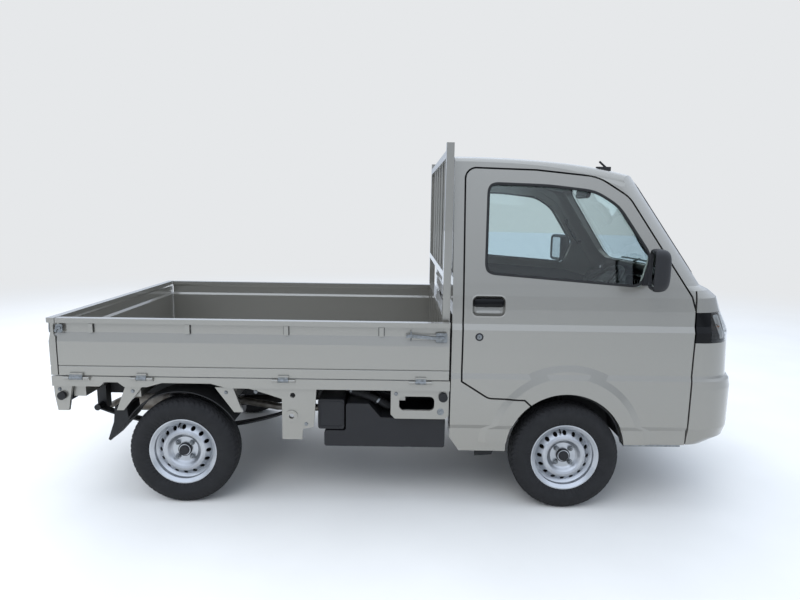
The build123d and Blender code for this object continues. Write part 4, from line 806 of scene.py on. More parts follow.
class TRUCK_OT_door_fittings(bpy.types.Operator):
    """Mirrors with their glass, handle bowls and grips, and key locks"""

    bl_idname = "truck.door_fittings"
    bl_label = "Door fittings"

    def execute(self, context):
        """Mirror head: rounded rectangles stacked along the truck; bowl, grip and sail: rings on the door."""
        # Place along the truck, width, height and corner radius of each section of the mirror's head
        head = smooth(mm(
            (1146, 124, 150, 20), (1139, 128, 155, 24), (1134.5, 136, 164, 27), (1137, 144, 178, 30),
            (1147, 149, 188, 36), (1165, 149, 190, 40), (1186, 143, 184, 44), (1202, 126, 166, 46),
            (1211, 96, 134, 42), (1215, 54, 82, 26)), 3)
        mirror_y, mirror_z, sweep = 0.83, 1.223, 0.24
        sail = rounded(mm((1150, 1136), (1270, 1136), (1216, 1270), (1196, 1262)), 0.008, 5)
        bowl = rectangle(0.158, 0.098, 0.03, 8) + mm(424, 1026)
        grip = rectangle(0.144, 0.040, 0.014, 8) + mm(424, 1042)
        sail_rings = ((0, -0.004), (0, 0.005), (0.0015, 0.0075), (0.005, 0.0085))
        grip_rings = ((0.004, -0.024), (0, -0.012), (0, 0.0005), (0.0015, 0.003), (0.005, 0.0045),
                      (0.011, 0.0058))
        bowl_rings = ((-0.006, 0.0002), (-0.003, 0.0016), (0, 0.0012), (0.002, -0.002), (0.005, -0.010),
                      (0.012, -0.018), (0.022, -0.0225), (0.030, -0.0235))
        for name, side in SIDES:
            door, out = f"door_{name}", (0, side, 0)
            middle = (side * mirror_y, mirror_z)
            rows = np.array([np.concatenate([
                np.full((40, 1), x), rectangle(wide, tall, corner, 10) * (side, 1) + middle], 1)
                for x, wide, tall, corner in head])
            rows[..., 0] -= sweep * (np.abs(rows[..., 1]) - mirror_y)
            arm = smooth(mm((1224, 664 * side, 1172), (1216, 700 * side, 1186), (1206, 735 * side, 1196),
                            (1200, 775 * side, 1200)), 6)
            girth = circle(1.0, 20) * MM * (15, 11)
            shell = [ring_sheet(rows, True), swept(arm, UP, girth), raised(sail, side, sail_rings)]
            mirror = piece(f"door_mirror_{name}", shell, "plastic", door)
            handle = piece(f"door_grip_{name}", [raised(grip, side, grip_rings)], "gloss", door)
            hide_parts(f"door_{name}_trim")
            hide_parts(f"door_{name}_trim")
            piece(f"door_bowl_{name}", [raised(bowl, side, bowl_rings)], "enamel", door, angle=50)
            face = rectangle(0.122, 0.148, 0.022, 8) * (side, 1)
            glass = plate(face, (1.1425, *middle), unit((sweep * side, -1, 0)), UP, 0.002, 0.0006)
            piece(f"mirror_glass_{name}", [glass], "mirror", door)
            lock = on_side(mm((381, 879)), 0.0, side)[0]
            ring = mm((19.5, -2), (19.5, 1.2), (18, 2.4), (14.5, 2.6), (13.5, 1.2), (12.5, 1.0))
            core = mm((12.4, -1), (12.4, 2.2), (11, 3.2), (0, 3.4))
            # black plate over the keyhole stands for the shade inside it: painted shade
            keyhole = lock + (0, side * 0.0038, 0)
            slot = plate(rectangle(0.0022, 0.009, 0.0008), keyhole, AHEAD, (0, 0, -side), 0.001)
            piece(f"lock_ring_{name}", [turned(ring, lock, out, 36)], "plastic", door)
            piece(f"lock_barrel_{name}", [turned(core, lock, out, 32)], "zinc", door)
            piece(f"lock_keyhole_shade_{name}", [slot], "gloss", door)
        return {"FINISHED"}


class TRUCK_OT_headlamps(bpy.types.Operator):
    """Reflectors, bezels and bulbs behind the clear covers"""

    bl_idname = "truck.headlamps"
    bl_label = "Headlamps"

    def execute(self, context):
        """Cups: a rounded rectangle shrunk as it goes deeper, laid along the lamp's wrapped face."""
        # Kind, start and end along the lamp, bottom and top, and share of the full depth
        cups = (("main", 0.020, 0.122, 0.875, 0.998, 1.0), ("dip", 0.132, 0.216, 0.875, 0.998, 1.0),
                ("side", 0.226, 0.286, 0.878, 0.994, 0.5))
        # Share of the outline's size, and depth below the cup's mouth
        cup_rings = ((1.0, 0.0), (0.97, 0.004), (0.9, 0.0095), (0.75, 0.0145), (0.5, 0.0175), (0.2, 0.019))
        rim_rings = ((1.0, 0.0125), (1.0, 0.0095), (1.05, 0.0095), (1.06, 0.020))
        # Height and depth of the housing's back wall
        wall = ((0.868, 0.010), (0.872, 0.030), (0.880, 0.0325), (0.936, 0.0325), (0.992, 0.0325),
                (1.000, 0.030), (1.004, 0.010))
        mouth = 0.012
        for name, side in SIDES:
            mirrors, bezels, bulbs = [], [], []
            for kind, start, end, low, high, dish in cups:
                outline = rectangle(end - start, high - low, 0.018, 6)
                middle = np.array([((start + end) / 2, (low + high) / 2)])

                def ring(share, depth):
                    """The outline at a share of its size, laid at a depth in the lamp."""
                    q = outline * share + middle
                    return lamp_place(q[:, 0], q[:, 1], depth, side)

                mirrors.append(ring_sheet([ring(share, mouth + depth * dish) for share, depth in cup_rings]))
                bezels.append(ring_sheet([ring(share, depth) for share, depth in rim_rings]))
                foot = lamp_place(*middle.T, mouth + 0.018 * dish, side)[0]
                tip = lamp_place(*middle.T, 0.010, side)[0]
                shape = mm((0, 17), (5, 15.5), (7.5, 11), (7.5, 6), (5, 0), (5, -3)) * dish
                bulb = turned(shape, foot, tip - foot, 20)
                if kind == "side":
                    piece(f"lamp_indicator_{name}", [bulb], "amber", angle=60)
                else:
                    bulbs.append(bulb)
            s = np.linspace(-0.008, 0.366, 60)
            bezels.append(sheet(np.array([lamp_place(s, np.full(60, z), depth, side) for z, depth in wall])))
            piece(f"lamp_bezel_{name}", bezels, "gloss", closed=False)
            piece(f"lamp_reflector_{name}", mirrors, "bright", angle=60, closed=False)
            piece(f"lamp_bulbs_{name}", bulbs, "lens", angle=60)
        return {"FINISHED"}


class TRUCK_OT_front(bpy.types.Operator):
    """Grille backing, intake mesh, blank plate with its holder and bolts, and wipers"""

    bl_idname = "truck.front"
    bl_label = "Front"

    def execute(self, context):
        """Strips and bars carried across the cab's and the bumper's bowed faces, a distance behind them."""
        y = np.linspace(-0.395, 0.395, 60)
        backing = []
        for low, high in ((0.903, 0.927), (0.948, 0.972)):
            rows = [on_nose(np.stack([y, np.full(60, z)], 1), -0.022) for z in np.linspace(low, high, 3)]
            backing.append(sheet(np.stack(rows)))
        for low in (0.905, 0.950):
            line = np.stack([y, np.full(60, low + 0.010)], 1)
            bar = rectangle(0.0035, 0.012, 0.001, 3)
            backing.append(swept(on_nose(line, -0.010), nose_normal(line), bar))
        piece("grille_backing", backing, "plastic", closed=False)

        mesh = []
        for z in (0.4295, 0.4570, 0.4865, 0.512):
            line = np.stack([np.linspace(-0.432, 0.432, 50), np.full(50, z)], 1)
            mesh.append(swept(bumper_front(line, -0.034), UP, rectangle(0.004, 0.0045, 0.001, 3)))
        for y in np.arange(-0.43, 0.431, 0.022):
            foot = bumper_front(np.array([[y, 0.425]]), -0.037)[0]
            bar = [foot + (0, 0, rise) for rise in (0, 0.048, 0.095)]
            mesh.append(swept(bar, AHEAD, rectangle(0.004, 0.005, 0.001, 3)))
        piece("intake_mesh", mesh, "plastic")

        plate_x, plate_z = 1.7035, 0.600
        number = plate(rectangle(0.33, 0.165, 0.012, 6), (plate_x, 0, plate_z), LEFT, UP, 0.0012, 0.0004)
        holder = plate(rectangle(0.30, 0.15, 0.02, 6), (1.7022, 0, plate_z), LEFT, UP, 0.008, 0.001)
        dome = mm((0, 3.2), (4, 3), (6.5, 1.2), (7.5, -0.2))
        piece("front_plate", [number], "blank")
        piece("front_plate_holder", [holder], "plastic")
        bolts = [turned(dome, (plate_x, side * 0.105, 0.664), AHEAD, 16) for side in (-1, 1)]
        piece("front_plate_bolts", bolts, "zinc")

        # Pivot and arm's end, and where the blade's right end lies across the front, in millimetres
        wipers = (((-60, 1130), (-330, 1190), -560), ((440, 1130), (170, 1190), -40))
        cap = mm((0, 22), (8, 21), (11, 17), (12, 10), (13, -4))
        wedge = mm((-1, -2), (1, -2), (2.2, 3), (2.2, 6), (-2.2, 6), (-2.2, 3))
        arms, blades = [], []
        for pivot, elbow, tip in wipers:
            line = spaced(mm(pivot, elbow), 0.02)
            stand = np.interp(np.arange(len(line)), [0, len(line) - 1], [0.016, 0.019])
            normal = nose_normal(line)
            arm = on_nose(line) + normal * stand[:, None] * 0.8
            arms.append(swept(arm, normal, rectangle(0.011, 0.006, 0.002, 3)))
            arms.append(turned(cap, on_nose(mm(pivot))[0], nose_normal(mm(pivot))[0], 24))
            line = spaced(mm((tip, elbow[1]), (elbow[0] + 230, elbow[1] - 2)), 0.02)
            normal = nose_normal(line)
            blades.append(swept(on_nose(line) + normal * 0.0025, normal, wedge))
            blades.append(swept(on_nose(line) + normal * 0.0095, normal, rectangle(0.008, 0.003, 0.001, 3)))
        for name, parts, finish in (("wiper_arms", arms, "plastic"), ("wiper_blades", blades, "seal")):
            made = piece(name, parts, finish)
            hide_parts("wipers")
        return {"FINISHED"}


class TRUCK_OT_steering_wheel(bpy.types.Operator):
    """Rim with finger grips, three spokes and a soft hub, horn pad, column shroud and stalks"""

    bl_idname = "truck.steering_wheel"
    bl_label = "Steering wheel"

    def execute(self, context):
        """Rim: a tube about a circle, its radius plus a cosine of the angle; spokes: widths along a curve."""
        tilt = math.radians(50)
        centre = np.array([1.040, -0.330, 1.070])
        axis = np.array([-math.cos(tilt), 0, math.sin(tilt)])
        across = np.array([0.0, 1.0, 0.0])
        up = np.cross(axis, across)
        t = np.arange(180) * 2 * math.pi / 180
        ring = centre + 0.180 * (np.cos(t)[:, None] * across + np.sin(t)[:, None] * up)
        tube = circle(1.0, 20)
        grip = 0.0130 + 0.0009 * np.cos(18 * t) * (np.abs(np.sin(t)) < 0.995)
        out = unit(ring - centre)
        girth = tube[None, :, :1] * out[:, None] + tube[None, :, 1:] * axis
        wheel = [sheet(ring[:, None] + grip[:, None, None] * girth, True, True)]
        reach = np.array([0.045, 0.07, 0.10, 0.135, 0.160, 0.176])
        drop = np.array([-0.018, -0.020, -0.018, -0.011, -0.004, 0.0])
        shape = rectangle(1.0, 1.0, 0.3, 5)
        for angle in np.radians((0, 180, 270)):
            ray = math.cos(angle) * across + math.sin(angle) * up
            line = smooth(centre + reach[:, None] * ray + drop[:, None] * axis, 4)
            width = np.interp(np.linspace(0, 1, len(line)), [0, 0.4, 1], [0.036, 0.024, 0.020])
            flat = shape[None, :, :1] * width[:, None, None] * np.cross(axis, ray)
            wheel.append(ring_sheet(line[:, None] + flat + shape[None, :, 1:] * 0.010 * axis, True))
        hub = mm((34, -54), (40, -44), (52, -24), (60, -20), (66, -10), (66, -2), (60, 5), (44, 9), (24, 11),
                 (0, 12))
        wheel.append(turned(smooth(hub, 3), centre, axis, 48))
        made = piece("steering_wheel_soft", wheel, "dash_soft", "steering_wheel")
        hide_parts("steering_wheel")
        lid = rounded(circle(0.042, 24) * (1.15, 0.9), 0.004, 3)
        pad = plate(lid, centre + 0.0135 * axis, across, up, 0.004, 0.0012)
        piece("horn_pad", [pad], "plastic", "steering_wheel")
        shroud = mm((30, 62), (38, 66), (44, 80), (46, 130), (44, 200), (34, 240), (26, 244))
        column = [turned(shroud * (1, -1), centre, axis, 32)]
        for side in (-1, 1):
            root = centre - 0.085 * axis + side * 0.03 * across
            line = smooth([root + side * run * across + lift * axis
                           for run, lift in ((0, 0), (0.05, 0.004), (0.115, 0.014))], 6)
            column.append(swept(line, axis, circle(0.0065, 12)))
            column.append(swept(line[-4:] + side * 0.006 * across, axis, circle(0.0095, 14)))
        piece("column_shroud", column, "plastic")
        return {"FINISHED"}


class TRUCK_OT_cabin(bpy.types.Operator):
    """Dashboard fittings, pedals, levers, belts, door cards, visors, mirror, grips, headliner and mats"""

    bl_idname = "truck.cabin"
    bl_label = "Cabin"

    def execute(self, context):
        """The cabin's groups, from the dials down to the floor."""
        self.instruments()
        self.dashboard()
        self.controls()
        self.belts()
        self.doors()
        self.overhead()
        self.mats()
        return {"FINISHED"}

    def instruments(self):
        """Hood over the dials: one arch shrunk about its foot, row after row; marks: bars on a circle."""
        wheel_y, foot_z = -0.330, 1.06
        dial_x, dial_z = 1.308, 1.098
        hood = smooth(mm((-150, 1060), (-152, 1090), (-138, 1122), (-95, 1140), (0, 1146), (95, 1140),
                         (138, 1122), (152, 1090), (150, 1060)), 5)
        # Place along the truck, share of the arch's width, and share of its height
        rows = ((1.44, 0.9, 0.9 * 0.4), (1.39, 0.97, 0.97 * 0.75), (1.33, 1.0, 0.95), (1.275, 1.0, 1.0),
                (1.272, 0.985, 0.985), (1.276, 0.965, 0.965), (1.318, 0.955, 0.955))
        arches = [np.stack([np.full(len(hood), x), wheel_y + hood[:, 0] * wide,
                            foot_z + (hood[:, 1] - foot_z) * tall], 1) for x, wide, tall in rows]
        piece("binnacle", [sheet(np.array(arches))], "dash", closed=False)
        face = rectangle(0.262, 0.066, 0.02, 6) * (-1, 1)
        piece("dial_face", [plate(face, (dial_x, wheel_y, dial_z), RIGHT, UP, 0.003, 0.001)], "gloss")
        marks = []
        for y, radius in ((wheel_y, 0.030), (wheel_y + 0.085, 0.020), (wheel_y - 0.085, 0.020)):
            inner, reach = radius - 0.0015, radius * 0.8
            ring = np.array([(radius, 0.0), (radius, 0.0015), (inner, 0.0015), (inner, 0.0)])
            marks.append(turned(ring, (dial_x, y, dial_z), BACK, 40))
            for a in np.radians(np.arange(-40, 221, 26)):
                middle = np.array([1.3075, y + reach * math.cos(a), dial_z + reach * math.sin(a)])
                ray = 0.003 * np.array([0, math.cos(a), math.sin(a)])
                bar = [middle - ray, middle, middle + ray]
                marks.append(swept(bar, BACK, rectangle(0.0012, 0.001, 0.0002, 2)))
        piece("dial_marks", marks, "blank", slot="clear_lens")

    def dashboard(self):
        """Air outlets, radio, heater panel, knobs and glove lid, laid on the dashboard's rear face."""
        facing = unit(np.array([-0.97, 0, 0.24]))
        rise = np.array([0.24, 0, 0.97])
        vents = ((-0.555, 0.10, 0.060), (-0.115, 0.11, 0.055), (0.115, 0.11, 0.055), (0.555, 0.10, 0.060))
        bits = []
        for y, wide, tall in vents:
            at = np.array([dash_face(1.035), y, 1.035])
            outline = rectangle(wide, tall, 0.012, 5)
            rim = ((inset(outline, -0.003), -0.002), (outline, 0.004), (inset(outline, 0.003), 0.003),
                   (inset(outline, 0.004), -0.006))
            bits.append(ring_sheet([at + q[:, :1] * RIGHT + q[:, 1:] * rise + d * facing for q, d in rim]))
            for k in (-0.3, -0.1, 0.1, 0.3):
                middle = at + rise * tall * k + facing * 0.0005
                ends = [middle + (0, s * (wide / 2 - 0.004), 0) for s in (-1, 0, 1)]
                bits.append(swept(ends, unit(rise + 0.7 * facing), rectangle(0.002, 0.010, 0.0006, 3)))
        radio, panel = (np.array([dash_face(z), 0.0, z]) for z in (0.965, 0.885))
        for at, tall, corner in ((radio, 0.075, 0.006), (panel, 0.060, 0.008)):
            outline = rectangle(0.20, tall, corner, 5)
            bits.append(plate(outline, at + 0.004 * facing, RIGHT, rise, 0.01, 0.0012))
        large = mm((20, 2), (19, 12), (17.5, 20), (15, 22), (0, 22))
        small = mm((9, 2), (8.5, 10), (7.5, 14), (0, 14.5))
        knobs = [turned(large, panel + (0, y, 0), facing, 32) for y in (-0.065, 0.0, 0.065)]
        knobs += [turned(small, radio + (0, y, 0), facing, 24) for y in (-0.082, 0.082)]
        lid = rounded(mm((185, 800), (600, 800), (600, 975), (185, 975)), 0.015, 5)
        rings = ((lid, -0.003), (lid, 0.002), (inset(lid, 0.002), 0.004))
        rings = [np.stack([dash_face(q[:, 1]) - d, q[:, 0], q[:, 1]], 1) for q, d in rings]
        points, faces = ring_sheet(rings)
        faces.append(np.arange(len(lid))[None, :] + 2 * len(lid))
        piece("glovebox_lid", [(points, faces)], "dash", closed=False)
        latch = np.array([dash_face(0.952) - 0.004, 0.39, 0.952]) + 0.004 * facing
        bits.append(plate(rectangle(0.07, 0.022, 0.006, 5), latch, RIGHT, rise, 0.006, 0.001))
        piece("dash_fittings", bits, "plastic", closed=False)
        piece("dash_knobs", knobs, "gloss")

    def controls(self):
        """Gear lever with its boot, hand brake and three pedals: rods along curves, and pads."""
        bends = ((1.19, 0.50), (1.15, 0.66), (1.08, 0.80), (1.06, 0.86))
        shift = smooth([(x, -0.03, z) for x, z in bends], 6)
        ball = smooth(mm((7, -6), (12, 4), (19, 20), (22, 34), (18, 46), (8, 51), (0, 52)), 3)
        boot = mm((95, 0), (88, 6), (84, 18), (72, 24), (70, 36), (57, 42), (55, 54), (42, 60), (40, 72),
                  (27, 78), (24, 92), (12, 98), (8, 108))
        brake = smooth([(0.98, 0.0, 0.655), (0.90, 0.0, 0.72), (0.78, 0.0, 0.755), (0.70, 0.0, 0.765)], 6)
        rods = [swept(shift, LEFT, circle(0.007, 14)), swept(brake, LEFT, circle(0.008, 14))]
        pads = [turned(ball, shift[-1], shift[-1] - shift[-2], 28),
                turned(boot, (1.205, -0.03, 0.469), (-0.25, 0, 0.97), 32),
                swept(brake[-9:], LEFT, circle(0.0145, 18))]
        # Pads of the accelerator, the brake and the clutch: place, width and height
        for y, x, z, wide, tall in ((-0.46, 1.425, 0.560, 0.044, 0.10), (-0.385, 1.405, 0.585, 0.052, 0.055),
                                    (-0.245, 1.405, 0.585, 0.052, 0.055)):
            arm = smooth([(1.52, y, 0.80), (1.46, y, 0.72), (1.43, y, z + 0.03), (x + 0.012, y, z)], 6)
            rods.append(swept(arm, LEFT, rectangle(0.012, 0.012, 0.004, 3)))
            pad = rectangle(wide, tall, 0.008, 5)
            pads.append(plate(pad, (x, y, z), RIGHT, (0.35, 0, 0.94), 0.010, 0.002))
        piece("levers", rods, "zinc")
        piece("knobs_and_pads", pads, "seal")

    def belts(self):
        """A belt a side from its guide on the pillar down to the reel, and its buckle's strap."""
        webbing, fittings = [], []
        for side in (-1, 1):
            line = smooth([(0.335, side * 0.604, 1.42), (0.335, side * 0.612, 1.15),
                           (0.335, side * 0.622, 0.90), (0.34, side * 0.628, 0.70)], 10)
            webbing.append(swept(line, (0, -side, 0), rectangle(0.047, 0.0016, 0.0006, 3)))
            line = smooth([(0.46, side * 0.075, 0.70), (0.49, side * 0.078, 0.76),
                           (0.51, side * 0.08, 0.805)], 5)
            webbing.append(swept(line, LEFT, rectangle(0.012, 0.03, 0.003, 3)))
            guide, reel = (0.335, side * 0.600, 1.43), (0.34, side * 0.615, 0.70)
            buckle = (0.525, side * 0.08 - 0.012, 0.835)
            across, along = (0.85, 0, -0.45), (0.45, 0, 0.85)
            fittings += [
                plate(rectangle(0.075, 0.055, 0.015, 6), guide, (side, 0, 0), UP, 0.006, 0.0015),
                plate(rectangle(0.034, 0.075, 0.01, 6), buckle, across, along, 0.026, 0.003),
                plate(rectangle(0.06, 0.12, 0.012, 6), reel, (side, 0, 0), UP, 0.03, 0.004)]
        piece("belt_webbing", webbing, "webbing")
        piece("belt_fittings", fittings, "plastic")

    def doors(self):
        """Door cards with arm rest and pocket, laid inside the doors, and the window cranks and pulls."""
        card = rounded(mm((375, 700), (480, 640), (620, 640), (1030, 700), (1340, 905), (1330, 1030),
                          (1150, 1082), (400, 1130)), 0.03, 6)
        rest = rounded(mm((560, 868), (980, 880), (1010, 930), (560, 930)), 0.018, 6)
        pocket = rounded(mm((560, 690), (990, 720), (990, 790), (560, 790)), 0.02, 6)
        inner_face = 0.708 - 0.050
        for name, side in SIDES:
            layers = ((card, 0.0462, 0.004), (rest, 0.050, 0.042), (pocket, 0.050, 0.022))
            cards = [card_plate(q, side, depth, thick) for q, depth, thick in layers]
            piece(f"door_card_{name}", cards, "dash", f"door_{name}")
            hub = np.array([1.09, side * inner_face, 0.95])
            arm = [hub + (run, -side * out, drop)
                   for run, out, drop in ((0, 0.009, 0), (-0.05, 0.013, -0.04), (-0.10, 0.016, -0.075))]
            pull = np.array([0.47, side * inner_face, 0.985]) + (0, -side * 0.006, 0)
            crank = [
                turned(mm((26, 0), (24, 8), (18, 12), (0, 13)), hub, (0, -side, 0), 28),
                swept(arm, LEFT, rectangle(0.008, 0.016, 0.003, 4)),
                turned(mm((9, 0), (11, 12), (11, 34), (8, 40), (0, 41)), hub + (-0.10, -side * 0.018, -0.075),
                       (0, -side, 0), 22),
                plate(rectangle(0.10, 0.045, 0.012, 6), pull, (side, 0, 0), UP, 0.012, 0.002)]
            piece(f"window_crank_{name}", crank, "plastic", f"door_{name}")

    def overhead(self):
        """Visors, mirror and grips; headliner: rail height + crown * (1 - (y / half width)^2) - its drop."""
        lean = (0.17, 0, 0.985)
        visor = rectangle(0.40, 0.13, 0.03, 6)
        piece("sun_visors", [plate(visor, (1.015, side * 0.32, 1.652), RIGHT, (0.90, 0, -0.436), 0.014, 0.005)
                             for side in (-1, 1)], "lining")
        stalk = smooth([(1.13, 0, 1.655), (1.10, 0, 1.62), (1.075, 0, 1.60)], 5)
        shell = plate(rectangle(0.22, 0.06, 0.02, 6), (1.050, 0, 1.59), RIGHT, lean, 0.022, 0.006)
        glass = plate(rectangle(0.205, 0.048, 0.015, 6), (1.0488, 0, 1.5902), RIGHT, lean, 0.0012)
        piece("inner_mirror", [swept(stalk, LEFT, circle(0.006, 12)), shell], "plastic")
        piece("inner_mirror_glass", [glass], "mirror")
        grips = []
        for side in (-1, 1):
            line = smooth([(1.155, side * 0.612, 1.42), (1.135, side * 0.585, 1.415),
                           (1.175, side * 0.58, 1.34), (1.225, side * 0.585, 1.275),
                           (1.25, side * 0.612, 1.28)], 7)
            grips.append(swept(line, LEFT, circle(0.010, 14)))
        piece("grab_handles", grips, "plastic")

        x, y = np.linspace(0.31, 1.08, 24)[:, None], np.linspace(-0.52, 0.52, 30)[None, :]
        rail, crown = (np.interp(x, ROOF_ROWS[:, 0], ROOF_ROWS[:, k]) for k in (1, 2))
        half_width, drop = 0.565, 0.047
        z = rail + crown * (1 - (y / half_width) ** 2) - drop
        grid = np.stack([*np.broadcast_arrays(x, y), z], -1)
        piece("headliner", [sheet(grid), sheet(grid - (0, 0, 0.003))], "lining", closed=False)

    def mats(self):
        """Three vinyl sheets: on the foot well, on the seat box, and on the step between them."""
        sheets = [plate(rectangle(back_to_front, 1.31, 0.03, 5), (x, 0, z), AHEAD, LEFT, 0.004, 0.001)
                  for back_to_front, x, z in ((0.418, 1.351, 0.4692), (0.229, 1.0195, 0.6442))]
        sheets.append(plate(rectangle(1.31, 0.15, 0.02, 5), (1.111, 0, 0.552), RIGHT, UP, 0.004, 0.001))
        piece("floor_mats", sheets, "mat")


def seat_form(low, high, rings, corner, waist):
    """Starting shape of a pad: rounded rectangles stacked upwards, each pulled in by an amount, their long
    sides drawn in by waist * cos^2 of how far a point lies from the middle."""
    low, high = np.asarray(low, float), np.asarray(high, float)
    size = high - low
    outline = spaced(rectangle(size[0], size[1], corner, 8), 0.02, True)
    levels = []
    for share, back in rings:
        q = inset(outline, back) if back else outline
        a, b = q[:, 0] / size[0] * math.pi, q[:, 1] / size[1] * math.pi
        drawn = np.stack([np.sign(q[:, 0]) * np.cos(b) ** 2, np.sign(q[:, 1]) * np.cos(a) ** 2], 1)
        q = q - waist * drawn * (0.2 < share < 0.95)
        height = np.full((len(q), 1), low[2] + share * size[2])
        levels.append(np.concatenate([q + (low[:2] + high[:2]) / 2, height], 1))
    return ring_sheet(levels, True)


def inflate(form, voxel, cap, held, box):
    """Remeshes a closed form and presses it outwards as cloth, with the held points pinned; each point ends
    at start + step * min(1, cap / length), kept in its box."""
    mesh = bpy.data.meshes.new("pad")
    points, groups = form
    mesh.from_pydata(points.tolist(), [], [f for g in groups for f in g.tolist()])
    obj = bpy.data.objects.new("pad", mesh)
    bpy.context.scene.collection.objects.link(obj)
    face_outwards(mesh)
    remesh = obj.modifiers.new("voxels", "REMESH")
    remesh.mode, remesh.voxel_size, remesh.use_smooth_shade = "VOXEL", voxel, True
    graph = bpy.context.evaluated_depsgraph_get()
    done = bpy.data.meshes.new_from_object(obj.evaluated_get(graph))
    obj.modifiers.clear()
    obj.data = done
    start = np.empty(len(done.vertices) * 3)
    done.vertices.foreach_get("co", start)
    start = start.reshape(-1, 3)
    end = start.copy()
    group = obj.vertex_groups.new(name="held")
    group.add([int(k) for k in np.nonzero(held(start))[0]], 1.0, "REPLACE")
    cloth = obj.modifiers.new("pressure", "CLOTH")
    cloth.settings.use_pressure, cloth.settings.uniform_pressure_force = True, 4.0
    cloth.settings.effector_weights.gravity = 0.0
    cloth.settings.vertex_group_mass = "held"
    cloth.settings.quality = 5
    last_frame = 20
    for number in range(1, last_frame + 1):
        bpy.context.scene.frame_set(number)
    graph = bpy.context.evaluated_depsgraph_get()
    pressed = obj.evaluated_get(graph).to_mesh()
    flat = np.empty(end.size)
    pressed.vertices.foreach_get("co", flat)
    end = flat.reshape(-1, 3)
    bpy.context.scene.frame_set(1)
    step = end - start
    length = np.linalg.norm(step, axis=1, keepdims=True)
    end = start + step * np.minimum(1.0, cap / np.maximum(length, 1e-9))
    faces = [list(f.vertices) for f in done.polygons]
    bpy.data.objects.remove(obj)
    return np.clip(end, box[0], box[1]), faces


def seams(points, side_axis, edges, cross_axis, crossings, ends):
    """How deep a pad's sewn channels are: a channel of the distance to the nearest side seam plus one of the
    distance to the nearest cross seam, which is put out of reach beyond the side seams."""
    seat_middle, out_of_reach = 0.33, 0.05
    sides = np.minimum(*(np.abs(points[:, side_axis] - edge) for edge in edges))
    cross = np.minimum(*(np.abs(points[:, cross_axis] - at) for at in crossings))
    cross = cross + out_of_reach * (np.abs(points[:, side_axis] - seat_middle) > ends)
    return channel(sides, 0.008, 0.007) + channel(cross, 0.007, 0.005)


class TRUCK_OT_seats(bpy.types.Operator):
    """Padded seat cushions, backs and headrests with seams, and the headrests' posts"""

    bl_idname = "truck.seats"
    bl_label = "Seats"

    def execute(self, context):
        """Three pads of the left seat, inflated and sewn, then set down on both sides as y and -y."""
        # Share of a pad's height, and how far its outline is pulled in there
        rings = ((0, 0.012), (0.04, 0.002), (0.15, 0), (0.5, 0), (0.75, 0), (0.9, 0.006), (0.97, 0.016),
                 (1.0, 0.034))
        # No point held, and a box that no point reaches
        free = (lambda p: p[:, 2] > 9, ((-2, -2, -2), (2, 2, 2)))
        form = seat_form((0.428, 0.100, 0.6408), (0.892, 0.560, 0.782), rings, 0.055, 0.006)
        cushion, cushion_faces = inflate(form, 0.010, 0.014, lambda p: p[:, 2] < 0.652,
                                         ((0.420, 0.090, 0.6403), (0.900, 0.570, 0.800)))
        top = np.clip((cushion[:, 2] - 0.74) / 0.03, 0, 1)
        cushion[:, 2] -= top * seams(cushion, 1, (0.175, 0.485), 0, (0.60, 0.745), 0.152)

        form = seat_form((0.640, 0.108, -0.420), (1.185, 0.552, -0.298), rings, 0.06, 0.004)
        back, back_faces = inflate(form, 0.010, 0.012, *free)
        back = lean_back(back)
        face = np.interp(back[:, 2], [0.79, 1.34], [0.40, 0.345])
        front = np.clip((back[:, 0] - face) / 0.01 + 1, 0, 1)
        back[:, 0] -= front * seams(back, 1, (0.185, 0.475), 2, (0.97, 1.14), 0.143)

        form = seat_form((0.640, 0.212, -0.375), (0.795, 0.448, -0.300), rings, 0.045, 0.003)
        rest, rest_faces = inflate(form, 0.009, 0.010, *free)
        rest = np.stack([0.300 + (-0.300 - rest[:, 2]) * 0.86, rest[:, 1], rest[:, 0] + 0.700], 1)

        pads = (("cushion", cushion, cushion_faces, 0.8, "seat_cushions"),
                ("back", back, back_faces, 0.8, "seat_backs"),
                ("headrest", rest, rest_faces, 0.9, "seat_backs"))
        for name, side in SIDES:
            for kind, points, faces, fill, old in pads:
                pad = pad_piece(f"seat_{kind}_{name}", points * (1, side, 1), faces, FINISH["cloth"])
                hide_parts(old)
            posts = [swept([(x, side * y, z) for x, z in ((0.322, 1.315), (0.322, 1.335), (0.323, 1.365))],
                           AHEAD, circle(0.006, 14)) for y in (0.275, 0.385)]
            piece(f"headrest_posts_{name}", posts, "zinc")
        return {"FINISHED"}


def lean_back(points):
    """The upright pad laid against the rear wall: height from its first axis, and depth from its third,
    which shrinks by 42 % towards the top."""
    height = points[:, 0] + 0.150
    share = np.clip((height - 0.79) / 0.55, 0, 1)
    depth = (-0.298 - points[:, 2]) * (1 - 0.42 * share)
    return np.stack([0.2935 + np.clip(depth, 0, None) * 1.02, points[:, 1], height], 1)


def face_outwards(mesh):
    """Turns every closed shell of a mesh outward."""
    work = bmesh.new()
    work.from_mesh(mesh)
    bmesh.ops.recalc_face_normals(work, faces=work.faces)
    work.to_mesh(mesh)
    work.free()


def pad_piece(name, points, faces, material):
    """A pad's mesh with one subdivision, riding on the cab."""
    mesh = bpy.data.meshes.new(name)
    mesh.from_pydata(points.tolist(), [], faces)
    face_outwards(mesh)
    mesh.polygons.foreach_set("use_smooth", np.ones(len(mesh.polygons), bool))
    mesh.materials.append(material)
    obj = bpy.data.objects.new(name, mesh)
    bpy.context.scene.collection.objects.link(obj)
    finer = obj.modifiers.new("finer", "SUBSURF")
    finer.levels = finer.render_levels = 1
    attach(obj, "chassis")
    return obj


